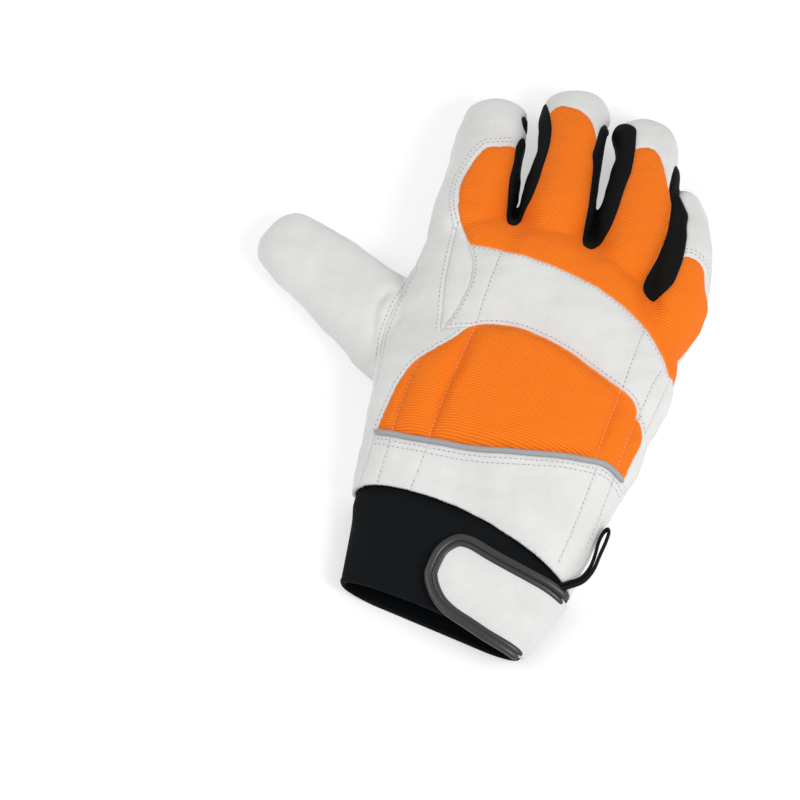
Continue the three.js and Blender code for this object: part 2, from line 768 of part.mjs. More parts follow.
function addPiece(name, piece, finish) {
  const mesh = mainBody(piece).getMesh();
  const geometry = new THREE.BufferGeometry();
  geometry.setAttribute('position', new THREE.BufferAttribute(mesh.vertProperties, 3));
  geometry.setIndex(new THREE.BufferAttribute(mesh.triVerts, 1));
  geometry.computeVertexNormals();
  const made = new THREE.Mesh(geometry, new THREE.MeshStandardMaterial(finish));
  made.name = name;
  group.add(made);
}

const panelFinish = {
  knuckle_fabric: finishes.orange,
  knuckle_band: finishes.leather,
  back_pad: finishes.orange,
  reflective_piping: finishes.reflective,
  cuff_leather: finishes.leather,
  index_gusset: finishes.leather,
  fourchette_index_middle: finishes.fourchette,
  fourchette_middle_ring: finishes.fourchette,
  fourchette_ring_pinky: finishes.fourchette,
};

let rest = handSolid(0).subtract(handSolid(leatherWall));
for (const [name, cutter] of Object.entries(panelCutters())) {
  addPiece(name, rest.intersect(cutter(0)), panelFinish[name]);
  rest = rest.subtract(cutter(seamGap));
}
addPiece('thumb_leather', rest.intersect(thumbCutter(0)), finishes.leather);
rest = rest.subtract(thumbCutter(seamGap));
for (const [name, cutter] of Object.entries(fingerCutters())) {
  addPiece(name, rest.intersect(cutter(0)), finishes.leather);
  rest = rest.subtract(cutter(seamGap));
}
addPiece('palm_leather', rest, finishes.leather);
addPiece('knit_cuff', knitCuff(), finishes.knit);
const strap = strapPieces();
addPiece('closure_strap', strap.tongue, finishes.leather);
addPiece('strap_piping', strap.piping, finishes.darkPiping);
addPiece('hang_loop', hangLoop(), finishes.tape);

// The origin is at the middle of the glove's footprint, on the surface it lies on.
const bounds = new THREE.Box3().setFromObject(group);
const middle = bounds.getCenter(new THREE.Vector3());
group.position.set(-middle.x, -middle.y, -bounds.min.z);

export default group;
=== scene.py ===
"""A right-hand chainsaw glove lying palm down on a pale floor.

The glove's skin is one smooth form built from tables of sections. Seam lines divide it into sewn
panels, and each panel gets its own thickness, puff and rolled edges. Stitches, piping, the knit cuff,
the strap and the hang loop are laid on it. Tables are in millimetres in the glove's own pattern
frame; the meshes are in metres in the row frame.
"""

import logging
import math
from collections.abc import Sequence
from dataclasses import dataclass, field
from enum import Enum

import bpy
import numpy as np
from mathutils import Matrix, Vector
from mathutils.bvhtree import BVHTree


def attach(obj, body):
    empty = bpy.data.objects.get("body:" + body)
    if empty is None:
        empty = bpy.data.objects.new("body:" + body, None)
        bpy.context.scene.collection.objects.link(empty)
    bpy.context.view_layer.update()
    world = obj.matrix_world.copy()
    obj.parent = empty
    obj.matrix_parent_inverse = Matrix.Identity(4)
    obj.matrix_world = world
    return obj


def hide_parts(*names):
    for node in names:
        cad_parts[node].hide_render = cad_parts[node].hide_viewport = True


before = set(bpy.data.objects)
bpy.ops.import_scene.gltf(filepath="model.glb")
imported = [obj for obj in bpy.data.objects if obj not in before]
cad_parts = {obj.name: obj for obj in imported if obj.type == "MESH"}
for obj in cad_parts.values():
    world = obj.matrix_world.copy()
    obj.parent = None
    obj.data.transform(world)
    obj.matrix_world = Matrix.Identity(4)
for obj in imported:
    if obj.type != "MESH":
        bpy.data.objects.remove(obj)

log = logging.getLogger("glove")

MM = 0.001

# The pattern frame's origin in the row frame, in millimetres.
PATTERN_ORIGIN = np.array([30.512, -128.147, 0.0])

PALM_WIDTH = 128.0
PALM_LENGTH = 134.0
PALM_HEIGHT = 46.0
HEM_WIDTH = 110.0
HEM_HEIGHT = 29.0
CUFF_LENGTH = 47.0
CUFF_WIDTH = 85.0
CUFF_HEIGHT = 20.0
CUFF_TUCK = 9.0
FINGER_HEIGHT = 40.0
THUMB_LENGTH = 96.5
THUMB_WIDTH = 42.0
THUMB_HEIGHT = 27.0
WALL = 1.6
STRAP_LENGTH = 66.0
STRAP_WIDTH = 36.0
SKIN_VOXEL = 1.25
HALF = PALM_WIDTH / 2

# The piping's middle lies this far below its seam line, and ends at this x.
PIPING_DROP = 1.25
PIPING_END = 0.985 * HALF

# A panel that lies on the floor is at least this thick there.
FLOOR_WALL = 0.25

# Rays that look for a surface start at this height.
OVERHEAD = 90.0

Points = Sequence[tuple[float, float]]
Slims = Sequence[tuple[float, float, float]]
Colour = tuple[float, float, float]
Faces = list[tuple[int, ...]]


def to_row(points: np.ndarray) -> np.ndarray:
    """Turns pattern millimetres into row metres."""
    return (np.asarray(points, float) + PATTERN_ORIGIN) * MM


def mix(low: float, high: float, share: float) -> float:
    """The value a share of the way from low to high."""
    return low + (high - low) * share


def hand_point(x: float, y: float) -> tuple[float, float]:
    """A plan point given as shares of half the palm width and of the palm length."""
    return x * HALF, CUFF_LENGTH + y * PALM_LENGTH


def hem_line(x: np.ndarray) -> np.ndarray:
    """Where the leather ends over the knit, at each x."""
    return CUFF_LENGTH - 0.12 * PALM_LENGTH * ((x + 0.45 * HALF) / (1.2 * HALF)) ** 2


def knuckle_line(x: np.ndarray) -> np.ndarray:
    """Where the fingers leave the hand, at each x."""
    across = np.maximum(0, x - 0.08 * HALF) / (0.69 * HALF)
    return CUFF_LENGTH + PALM_LENGTH - 0.122 * PALM_LENGTH * across**2


def rim_line(x: np.ndarray) -> np.ndarray:
    """Where the knit's rim lies, at each x."""
    return -0.035 * CUFF_LENGTH - 0.12 * x


def table_at(at: np.ndarray, xs: Sequence[float], ys: Sequence[float]) -> np.ndarray:
    """Reads a table between its rows with a smooth curve that never overshoots.

    Args:
        at: where to read.
        xs: the rows' positions, rising.
        ys: the rows' values.

    Returns:
        One value for each position in at.
    """
    x, y = np.asarray(xs, float), np.asarray(ys, float)
    step = np.diff(x)
    rise = np.diff(y) / step
    slope = np.zeros_like(y)
    slope[0], slope[-1] = rise[0], rise[-1]
    same = rise[:-1] * rise[1:] > 0
    slope[1:-1][same] = 2 * rise[:-1][same] * rise[1:][same] / (rise[:-1] + rise[1:])[same]
    k = np.clip(np.searchsorted(x, at) - 1, 0, len(x) - 2)
    t = (at - x[k]) / step[k]
    keep = y[k] * (2 * t**3 - 3 * t**2 + 1) + y[k + 1] * (3 * t**2 - 2 * t**3)
    bend = slope[k] * (t**3 - 2 * t**2 + t) + slope[k + 1] * (t**3 - t**2)
    return keep + bend * step[k]


def smooth_line(points: Points, step: float = 1.0) -> np.ndarray:
    """A smooth curve through points, with a point about every step.

    Args:
        points: two or three columns.
        step: spacing of the result, in the points' own unit.

    Returns:
        The curve's points, ends included.
    """
    p = np.asarray(points, float)
    ends = np.vstack([2 * p[0] - p[1], p, 2 * p[-1] - p[-2]])
    out = []
    for k in range(1, len(p)):
        a, b, c, d = ends[k - 1 : k + 3]
        count = max(2, int(np.linalg.norm(c - b) / step))
        t = np.linspace(0, 1, count, endpoint=False)[:, None]
        out.append(
            0.5 * (2 * b + (c - a) * t + (2 * a - 5 * b + 4 * c - d) * t**2 + (3 * b - a - 3 * c + d) * t**3)
        )
    out.append(p[-1:])
    return np.vstack(out)


def resample(line: np.ndarray, pitch: float) -> np.ndarray:
    """Points along a line at an even pitch."""
    length = np.concatenate([[0], np.cumsum(np.linalg.norm(np.diff(line, axis=0), axis=1))])
    count = max(2, int(round(length[-1] / pitch)) + 1)
    at = np.linspace(0, length[-1], count)
    return np.column_stack([np.interp(at, length, line[:, k]) for k in range(line.shape[1])])


def beside(line: np.ndarray, distance: float) -> np.ndarray:
    """The plan line moved to its left by a distance."""
    ahead = np.gradient(line[:, :2], axis=0)
    ahead /= np.maximum(np.linalg.norm(ahead, axis=1, keepdims=True), 1e-9)
    return line[:, :2] + distance * np.column_stack([-ahead[:, 1], ahead[:, 0]])


def outline_distance(points: np.ndarray, outline: np.ndarray) -> np.ndarray:
    """Signed plan distance to a closed outline, negative inside."""
    nearest = np.full(len(points), 1e9)
    inside = np.zeros(len(points), bool)
    x, y = points[:, 0], points[:, 1]
    for a, b in zip(outline, np.roll(outline, -1, axis=0)):
        edge = b - a
        t = np.clip(((x - a[0]) * edge[0] + (y - a[1]) * edge[1]) / max(edge @ edge, 1e-12), 0, 1)
        nearest = np.minimum(nearest, (x - a[0] - t * edge[0]) ** 2 + (y - a[1] - t * edge[1]) ** 2)
        if a[1] != b[1]:
            crosses = (a[1] > y) != (b[1] > y)
            inside ^= crosses & (x < a[0] + edge[0] * (y - a[1]) / edge[1])
    return np.where(inside, -1, 1) * np.sqrt(nearest)


def line_distance(points: np.ndarray, line: np.ndarray) -> np.ndarray:
    """Plan distance to an open line."""
    nearest = np.full(len(points), 1e9)
    x, y = points[:, 0], points[:, 1]
    for a, b in zip(line[:-1], line[1:]):
        edge = b[:2] - a[:2]
        t = np.clip(((x - a[0]) * edge[0] + (y - a[1]) * edge[1]) / max(edge @ edge, 1e-12), 0, 1)
        nearest = np.minimum(nearest, (x - a[0] - t * edge[0]) ** 2 + (y - a[1] - t * edge[1]) ** 2)
    return np.sqrt(nearest)


def waves(points: np.ndarray, length: float, seed: int, count: int = 7) -> np.ndarray:
    """Soft irregular waves in space, about -1 to 1.

    Args:
        points: where to read them.
        length: their usual wavelength.
        seed: which set of waves.
        count: how many plane waves make the pattern.

    Returns:
        One value for each point.
    """
    pick = np.random.default_rng(seed)
    total = np.zeros(len(points))
    for _ in range(count):
        way = pick.normal(size=3)
        way *= pick.uniform(0.6, 1.5) * 2 * math.pi / length / np.linalg.norm(way)
        total += np.sin(points @ way + pick.uniform(0, 2 * math.pi))
    return total / math.sqrt(count)


# Sections


@dataclass(frozen=True)
class Rows:
    """Sections along a tube.

    Attributes:
        along: share of the way along the tube.
        left, right: how far out each side lies.
        low, high: undersides and tops.
    """

    along: tuple[float, ...]
    left: tuple[float, ...]
    right: tuple[float, ...]
    low: tuple[float, ...]
    high: tuple[float, ...]


HAND = Rows(
    along=(0.0, 0.14, 0.22, 0.34, 0.46, 0.56, 0.615, 0.67, 0.76, 0.84, 0.895, 0.95, 1.0, 1.05, 1.09),
    left=(
        -0.78, -0.82, -0.84, -0.88, -0.93, -0.95, -0.955, -0.95, -0.93, -0.91, -0.9, -0.895, -0.88,
        -0.83, -0.72,
    ),
    right=(0.9, 0.92, 0.935, 0.97, 1.005, 1.03, 1.03, 1.04, 1.065, 1.07, 1.06, 1.04, 1.01, 0.94, 0.82),
    low=(0, 0, 0, 0, 0, 0, 0, 0, 0, 0, 0, 0, 0.05, 0.16, 0.32),
    high=(0.63, 0.77, 0.87, 0.94, 0.97, 0.97, 0.945, 0.975, 1.0, 0.99, 0.965, 0.945, 0.86, 0.72, 0.52),
)

FINGER = Rows(
    along=(0.0, 0.16, 0.31, 0.42, 0.54, 0.66, 0.78, 0.87, 0.93, 0.97, 1.0),
    left=(-0.5, -0.84, -1.05, -1.05, -1.01, -0.95, -0.93, -0.91, -0.84, -0.66, -0.3),
    right=(0.5, 0.84, 1.05, 1.05, 1.01, 0.95, 0.93, 0.91, 0.84, 0.66, 0.3),
    low=(0.1, 0.0, 0.02, 0.05, 0.09, 0.11, 0.11, 0.08, 0.06, 0.08, 0.15),
    high=(0.55, 0.85, 0.96, 0.94, 0.89, 0.83, 0.75, 0.67, 0.6, 0.52, 0.4),
)

THUMB = Rows(
    along=(0.0, 0.13, 0.24, 0.36, 0.5, 0.66, 0.8, 0.9, 0.96, 1.0),
    left=(-0.8, -1.1, -1.12, -1.0, -0.94, -0.86, -0.79, -0.72, -0.62, -0.36),
    right=(0.8, 1.1, 1.12, 1.0, 0.94, 0.86, 0.79, 0.72, 0.62, 0.36),
    low=(0.1, 0.0, 0.0, 0.0, 0.01, 0.03, 0.03, 0.03, 0.08, 0.18),
    high=(0.9, 1.12, 1.08, 1.0, 0.93, 0.86, 0.79, 0.73, 0.64, 0.5),
)

CUFF = Rows(
    along=(-0.25, 0.0, 0.3, 0.55, 0.72, 0.8, 1.0),
    left=(-0.92, -0.965, -1.02, -1.07, -1.12, -1.125, -1.125),
    right=(1.005, 1.06, 1.15, 1.24, 1.32, 1.33, 1.33),
    low=(0, 0, 0, 0, 0, 1, 1),
    high=(0.98, 1.0, 1.14, 1.26, 1.32, 1.33, 1.33),
)


@dataclass(frozen=True)
class Finger:
    """One finger's place and size.

    Attributes:
        x, y: its root, as shares of half the palm width and of the palm length.
        lean: how far its tip lies aside, as a share of its length.
        bow: its sideways bow towards the little finger, as a share of its length.
        length, width: in millimetres.
        left_slims, right_slims: where each side is narrower or, if negative, fuller: by how many
            millimetres, how far along, and over what reach.
    """

    x: float
    y: float
    lean: float
    bow: float
    length: float
    width: float
    left_slims: Slims = ()
    right_slims: Slims = ()

    def halves(self, half: float, along: float) -> tuple[float, float]:
        """How far the left and right sides lie from the centreline, from the even half width."""
        left, right = (
            half - sum(slim * math.exp(-(((along - at) / reach) ** 2)) for slim, at, reach in slims)
            for slims in (self.left_slims, self.right_slims)
        )
        return left, right

    def centre(self, along: np.ndarray) -> np.ndarray:
        """Plan points of the centreline."""
        along = np.asarray(along, float)
        reach = self.length * math.sqrt(1 - self.lean**2)
        sway = self.lean * along + 4 * self.bow * along * (1 - along)
        x = self.x * HALF + sway * self.length
        return np.stack([x, CUFF_LENGTH + self.y * PALM_LENGTH + reach * along], axis=-1)

    def ahead(self, along: np.ndarray) -> np.ndarray:
        """Unit plan vectors along the centreline."""
        step = self.centre(np.asarray(along) + 0.01) - self.centre(np.asarray(along) - 0.01)
        return step / np.linalg.norm(step, axis=-1, keepdims=True)

    def point(self, along: float, across: float) -> np.ndarray:
        """A plan point beside the centreline, across in shares of the half width."""
        ahead = self.ahead(along)
        return self.centre(along) + np.array([ahead[1], -ahead[0]]) * across * self.width / 2


@dataclass(frozen=True)
class Thumb:
    """The thumb's place and size, with the same meaning as a finger's."""

    x: float = -0.6
    y: float = 0.54
    reach_x: float = -0.91
    reach_y: float = 0.43
    length: float = THUMB_LENGTH
    width: float = THUMB_WIDTH

    def centre(self, along: np.ndarray) -> np.ndarray:
        """Plan points of the centreline."""
        along = np.asarray(along, float)
        x = self.x * HALF + self.reach_x * self.length * along
        return np.stack([x, CUFF_LENGTH + self.y * PALM_LENGTH + self.reach_y * self.length * along], axis=-1)

    def ahead(self, along: np.ndarray) -> np.ndarray:
        """Unit plan vectors along the centreline."""
        way = np.array([self.reach_x, self.reach_y])
        return np.broadcast_to(way / np.linalg.norm(way), (*np.shape(along), 2))

    def halves(self, half: float, along: float) -> tuple[float, float]:
        """Both sides lie equally far out."""
        return half, half


FINGERS = {
    "index": Finger(
        -0.62, 0.765, -0.1, 0.01, 103, 33,
        right_slims=((0.3, 0.65, 0.12), (-0.4, 0.42, 0.09), (2.0, 0.9, 0.07), (-1.0, 0.985, 0.04)),
    ),
    "middle": Finger(
        -0.06, 0.805, -0.14, 0.034, 113, 32.5,
        left_slims=((-0.5, 0.4, 0.09), (-1.6, 0.95, 0.05)),
        right_slims=((2.0, 0.54, 0.16), (0.8, 0.76, 0.08), (-0.8, 0.9, 0.04)),
    ),
    "ring": Finger(
        0.44, 0.765, -0.143, 0.067, 113.5, 32.5,
        left_slims=((3.2, 0.85, 0.08), (-0.6, 0.6, 0.12), (-2.8, 0.985, 0.045)),
        right_slims=((-1.0, 0.74, 0.08),),
    ),
    "pinky": Finger(0.82, 0.7, -0.145, 0.092, 93, 25, right_slims=((1.6, 0.94, 0.08), (-1.0, 0.55, 0.15))),
}


@dataclass(frozen=True)
class Roundness:
    """How square a tube's sides, back and underside are: 2 is an ellipse."""

    side: float
    back: float
    palm: float

    def ring(self, count: int) -> tuple[np.ndarray, np.ndarray]:
        """Shares across and up of the points round a section."""
        angle = np.linspace(0, 2 * math.pi, count, endpoint=False)
        c, s = np.cos(angle), np.sin(angle)
        power = np.where(s > 0, self.back, self.palm)
        return np.sign(c) * np.abs(c) ** (2 / self.side), np.sign(s) * np.abs(s) ** (2 / power)


HAND_ROUND = Roundness(2.4, 2.3, 3.2)
FINGER_ROUND = Roundness(2.2, 2.2, 2.6)
CUFF_ROUND = Roundness(2.1, 2.2, 2.8)
WIDE_LEVEL = 0.42
CUFF_WIDE_LEVEL = 0.45


@dataclass
class Loft:
    """Closed tube through rings of points.

    Attributes:
        rings: rows of points, one row a ring.
    """

    rings: np.ndarray

    def mesh(self) -> tuple[np.ndarray, Faces]:
        """Vertices and faces, with an n-gon at each end."""
        rows, count, _ = self.rings.shape
        faces: Faces = []
        for row in range(rows - 1):
            for k in range(count):
                a, b = row * count + k, row * count + (k + 1) % count
                faces.append((a, b, b + count, a + count))
        faces.append(tuple(range(count))[::-1])
        faces.append(tuple((rows - 1) * count + k for k in range(count)))
        return self.rings.reshape(-1, 3), faces


def joined(parts: Sequence[tuple[np.ndarray, Faces]]) -> tuple[np.ndarray, Faces]:
    """Several meshes as one, each still a body of its own."""
    faces: Faces = []
    first = 0
    for points, own_faces in parts:
        faces += [tuple(k + first for k in face) for face in own_faces]
        first += len(points)
    return np.vstack([points for points, _ in parts]), faces


def hand_rings(rows: int = 60, count: int = 96) -> np.ndarray:
    """Rings of the hand from the hem to the knuckles."""
    across, lift = HAND_ROUND.ring(count)
    rings = []
    for along in np.linspace(-0.06, 1.09, rows):
        share = min(1.0, max(0.0, along) / 0.22)
        narrow = mix(HEM_WIDTH / (0.86 * PALM_WIDTH), 1, share)
        left, right, high, low = (
            float(table_at(max(along, 0.0), HAND.along, side))
            for side in (HAND.left, HAND.right, HAND.high, HAND.low)
        )
        left, right, high = left * HALF * narrow, right * HALF * narrow, high * PALM_HEIGHT
        high *= mix(HEM_HEIGHT / (0.63 * PALM_HEIGHT), 1, share)
        low *= high
        wide = mix(low, high, WIDE_LEVEL)
        x = (left + right) / 2 + (right - left) / 2 * across
        down = wide - low if low > 0.5 else wide - low + 1
        z = wide + np.where(lift > 0, high - wide, down) * lift
        y = hem_line(x) + (knuckle_line(x) - hem_line(x)) * along
        rings.append(np.column_stack([x, y, np.maximum(z, 0)]))
    return np.array(rings)


def digit_rings(
    digit: Finger | Thumb, table: Rows, height: float, rows: int = 56, count: int = 48
) -> np.ndarray:
    """Rings of a finger or the thumb from inside the hand to the tip.

    Args:
        digit: its place and size.
        table: its sections.
        height: the height that the table's shares count from.
        rows: how many rings.
        count: points in a ring.

    Returns:
        The rings.
    """
    across, lift = FINGER_ROUND.ring(count)
    rings = []
    for along in np.linspace(0, 1, rows):
        centre, ahead = digit.centre(along), digit.ahead(along)
        left, right = digit.halves(float(table_at(along, table.along, table.right)) * digit.width / 2, along)
        out = np.where(across > 0, right, left) * across
        low = float(table_at(along, table.along, table.low)) * height
        high = float(table_at(along, table.along, table.high)) * height
        wide = mix(low, high, WIDE_LEVEL)
        down = wide - low if low > 0.5 else wide - low + 1
        z = wide + np.where(lift > 0, high - wide, down) * lift
        x = centre[0] + ahead[1] * out
        y = centre[1] - ahead[0] * out
        rings.append(np.column_stack([x, y, np.maximum(z, 0)]))
    return np.array(rings)


# Seams


SEAMS: dict[str, Points] = {
    "band_upper": (
        (-0.56, 0.882), (-0.343, 0.889), (-0.2, 0.888), (-0.048, 0.88), (0.252, 0.864), (0.489, 0.835),
        (0.731, 0.797), (0.875, 0.748), (0.975, 0.707), (1.036, 0.673), (1.065, 0.695), (1.12, 0.76),
    ),
    "band_lower": (
        (-0.54, 0.552), (-0.44, 0.567), (-0.343, 0.58), (-0.286, 0.598), (-0.156, 0.617), (-0.014, 0.623),
        (0.173, 0.614), (0.368, 0.593), (0.53, 0.567), (0.707, 0.541), (0.769, 0.535), (0.781, 0.528),
        (0.8, 0.531), (0.833, 0.526), (0.876, 0.516), (0.908, 0.502), (0.926, 0.486), (0.926, 0.47),
        (0.942, 0.469), (0.966, 0.461), (0.99, 0.447), (1.005, 0.43),
    ),
    "band_right": ((1.046, 0.669), (1.041, 0.573), (1.025, 0.491), (1.008, 0.44)),
    "pad_left": (
        (-0.36, 0.573), (-0.38, 0.556), (-0.442, 0.515), (-0.538, 0.464), (-0.63, 0.411), (-0.685, 0.345),
        (-0.715, 0.258), (-0.731, 0.185),
    ),
    "pad_right": ((1.005, 0.43), (1.008, 0.4), (1.006, 0.362), (0.996, 0.314), (0.985, 0.262)),
    "piping": (
        (-0.737, 0.181), (-0.556, 0.173), (-0.341, 0.173), (-0.058, 0.181), (0.283, 0.208), (0.549, 0.238),
        (0.716, 0.257), (0.813, 0.272), (0.869, 0.275), (0.93, 0.272), (0.97, 0.266), (1.0, 0.262),
        (1.06, 0.26),
    ),
    "gusset_straight": ((-0.7, 0.955), (-0.635, 0.74), (-0.54, 0.548)),
    "gusset_curve": (
        (-0.56, 0.87), (-0.5, 0.825), (-0.467, 0.772), (-0.455, 0.728),
        (-0.465, 0.684), (-0.484, 0.632), (-0.53, 0.55),
    ),
    "knuckle_left": ((-0.555, 0.88), (-0.625, 0.926), (-0.69, 0.97), (-0.735, 1.015), (-0.765, 1.08)),
    "thumb_seam": (
        (-0.885, 0.79), (-0.905, 0.7), (-0.93, 0.617), (-0.93, 0.515), (-0.9, 0.43), (-0.88, 0.34),
    ),
    "thumb_palm_seam": (
        (-0.97, 0.3), (-0.78, 0.29), (-0.62, 0.33), (-0.48, 0.42), (-0.42, 0.53),
        (-0.44, 0.64), (-0.54, 0.74), (-0.7, 0.8), (-0.97, 0.82),
    ),
}


def seam(name: str, backwards: bool = False, first: int | None = None, last: int | None = None) -> np.ndarray:
    """A named seam, or a stretch of it, as a smooth plan line in millimetres."""
    line = smooth_line([hand_point(x, y) for x, y in SEAMS[name][first:last]])
    return line[::-1] if backwards else line


# The knuckle fabric's outline on each finger, from the lower right over the top to the lower left:
# shares of the finger's length and of its half width.
FABRIC_OUTLINES: dict[str, Points] = {
    "index": (
        (0.22, 1.2), (0.45, 1.15), (0.6, 1.0), (0.72, 0.95), (0.728, 0.74), (0.715, 0.61), (0.701, 0.46),
        (0.683, 0.24), (0.669, 0.05), (0.629, -0.1), (0.585, -0.22), (0.525, -0.32), (0.477, -0.39),
        (0.429, -0.4), (0.349, -0.31), (0.307, -0.21), (0.261, -0.07), (0.18, 0.27),
    ),
    "middle": (
        (0.2, 0.95), (0.4, 0.95), (0.58, 0.85), (0.69, 0.8), (0.757, 0.68), (0.802, 0.56), (0.836, 0.4),
        (0.862, 0.15), (0.876, -0.17), (0.882, -0.41), (0.862, -0.63), (0.82, -0.75), (0.7, -0.72),
        (0.5, -0.78), (0.3, -0.95), (0.2, -0.95),
    ),
    "ring": (
        (0.22, 0.8), (0.3, 0.92), (0.5, 1.0), (0.6, 0.95), (0.663, 0.76), (0.719, 0.62), (0.777, 0.49),
        (0.818, 0.3), (0.824, 0.05), (0.818, -0.19), (0.79, -0.36), (0.65, -0.5), (0.46, -0.66),
        (0.35, -0.8), (0.22, -0.8),
    ),
    "pinky": (
        (0.28, 1.5), (0.41, 1.5), (0.43, 1.2), (0.45, 1.02), (0.491, 0.94), (0.531, 0.85),
        (0.549, 0.7), (0.557, 0.4), (0.555, 0.12), (0.52, -0.05), (0.4, -0.12), (0.28, -0.5),
    ),
}

# How far along each finger's outline the leather above the fabric is double stitched.
FABRIC_SEWN = {"index": (4, 18), "pinky": (3, 9)}


def finger_line(name: str, points: Points) -> np.ndarray:
    """A smooth plan line from shares of a finger's length and half width."""
    return smooth_line([FINGERS[name].point(along, across) for along, across in points])


@dataclass(frozen=True)
class Parting:
    """The V of black fabric where two finger backs part.

    Attributes:
        left, right: the two fingers.
        left_edge: the V's edge on the left finger from its top down, in shares of the finger's
            length and half width.
        right_edge: its edge on the right finger from the bottom up.
    """

    left: str
    right: str
    left_edge: Points
    right_edge: Points

    def outline(self) -> np.ndarray:
        """The V's closed plan outline, over both fingers and the gap."""
        left = [FINGERS[self.left].point(*share) for share in self.left_edge]
        return smooth_line(left + [FINGERS[self.right].point(*share) for share in self.right_edge])


PARTINGS = {
    "fourchette_index_middle": Parting(
        "index", "middle",
        (
            (0.84, 0.97), (0.808, 0.84), (0.771, 0.78), (0.735, 0.75), (0.701, 0.76), (0.651, 0.79),
            (0.547, 0.81), (0.465, 0.89), (0.379, 0.98), (0.327, 1.09),
        ),
        (
            (0.273, -1.01), (0.311, -0.92), (0.349, -0.9), (0.411, -0.77), (0.455, -0.71), (0.513, -0.66),
            (0.613, -0.6), (0.657, -0.57), (0.715, -0.56), (0.777, -0.59), (0.848, -0.69), (0.94, -0.87),
        ),
    ),
    "fourchette_middle_ring": Parting(
        "middle", "ring",
        (
            (0.875, 1.0), (0.842, 0.84), (0.81, 0.76), (0.747, 0.7), (0.697, 0.66), (0.671, 0.65),
            (0.619, 0.72), (0.503, 0.78), (0.435, 0.82), (0.333, 0.85), (0.287, 0.89), (0.25, 0.98),
        ),
        (
            (0.303, -0.95), (0.339, -0.82), (0.365, -0.74), (0.433, -0.59), (0.521, -0.5), (0.563, -0.47),
            (0.639, -0.4), (0.697, -0.31), (0.743, -0.27), (0.808, -0.23), (0.872, -0.21), (0.92, -0.19),
            (0.945, -0.27), (0.98, -0.5), (0.99, -0.8), (0.97, -1.0),
        ),
    ),
    "fourchette_ring_pinky": Parting(
        "ring", "pinky",
        (
            (0.73, 1.05), (0.77, 1.06), (0.8, 1.04), (0.79, 0.93), (0.749, 0.86), (0.709, 0.82),
            (0.661, 0.79), (0.629, 0.84), (0.589, 0.89), (0.467, 0.92), (0.367, 0.86), (0.319, 0.82),
            (0.273, 0.76), (0.241, 0.72), (0.205, 0.79), (0.184, 0.92),
        ),
        (
            (0.293, -0.62), (0.299, -0.53), (0.321, -0.4), (0.345, -0.23), (0.377, -0.1), (0.411, -0.03),
            (0.475, 0.02), (0.543, 0.07), (0.661, 0.1), (0.739, 0.09), (0.808, 0.15), (0.85, 0.08),
            (0.9, -0.01), (0.94, -0.07),
        ),
    ),
}

# The dark speck where the black fabric shows again beside the index tip.
TIP_SPOT: Points = ((0.862, 0.8), (0.885, 0.73), (0.91, 0.69), (0.935, 0.76), (0.92, 0.9), (0.875, 0.9))


def knuckle_outline() -> np.ndarray:
    """The part of the knuckle fabric that lies on the hand."""
    far = 1.4 * HALF
    edge = [
        FINGERS["index"].point(0.42, 0.6),
        FINGERS["middle"].point(0.3, -0.8),
        FINGERS["middle"].point(0.32, 0.8),
        FINGERS["ring"].point(0.35, -0.7),
        FINGERS["ring"].point(0.3, 0.8),
        FINGERS["pinky"].point(0.34, -0.2),
        (far, FINGERS["pinky"].point(0.34, 1)[1]),
        (far, hand_point(0, SEAMS["band_upper"][-1][1])[1]),
    ]
    return np.vstack([seam("band_upper", True), seam("knuckle_left"), np.array(edge)])


class Panel(Enum):
    """The sewn panels, in the order in which they are cut from the skin."""

    FOURCHETTE_INDEX_MIDDLE = "fourchette_index_middle"
    FOURCHETTE_MIDDLE_RING = "fourchette_middle_ring"
    FOURCHETTE_RING_PINKY = "fourchette_ring_pinky"
    KNUCKLE_FABRIC = "knuckle_fabric"
    KNUCKLE_BAND = "knuckle_band"
    BACK_PAD = "back_pad"
    CUFF_LEATHER = "cuff_leather"
    INDEX_GUSSET = "index_gusset"
    THUMB_LEATHER = "thumb_leather"
    PALM_LEATHER = "palm_leather"


KNUCKLE_LEVEL = 11.0
BACK_LEVEL = 18.0
FOURCHETTE_LEVEL = 6.5
PATCH_LEVEL = 9.0


def panel_outlines() -> dict[Panel, tuple[list[np.ndarray], float]]:
    """Each back panel's closed plan outlines, and the level down to which it reaches."""
    fabric = [knuckle_outline(), *(finger_line(name, FABRIC_OUTLINES[name]) for name in FINGERS)]
    band = np.vstack([
        seam("band_upper", last=-2), seam("band_right"), seam("band_lower", True), seam("gusset_curve", True),
    ])
    middle = beside(seam("piping"), -PIPING_DROP)
    above = middle[middle[:, 0] < PIPING_END]
    pad = np.vstack([seam("band_lower", first=2), seam("pad_right"), above[::-1], seam("pad_left", True)])
    below = [hand_point(1.4, SEAMS["piping"][-1][1]), hand_point(1.4, -0.3), hand_point(-0.735, -0.3)]
    cuff = np.vstack([middle, np.array(below)])
    left = [hand_point(x, y) for x, y in SEAMS["knuckle_left"][1:3]]
    gusset = np.vstack([seam("gusset_straight"), seam("gusset_curve", True), np.array(left)])
    found = {Panel(name): ([parting.outline()], FOURCHETTE_LEVEL) for name, parting in PARTINGS.items()}
    found[Panel.FOURCHETTE_INDEX_MIDDLE][0].append(finger_line("index", TIP_SPOT))
    found |= {
        Panel.KNUCKLE_FABRIC: (fabric, KNUCKLE_LEVEL),
        Panel.KNUCKLE_BAND: ([band], BACK_LEVEL),
        Panel.BACK_PAD: ([pad], BACK_LEVEL),
        Panel.CUFF_LEATHER: ([cuff], KNUCKLE_LEVEL),
        Panel.INDEX_GUSSET: ([gusset], BACK_LEVEL),
    }
    return found


# Skin


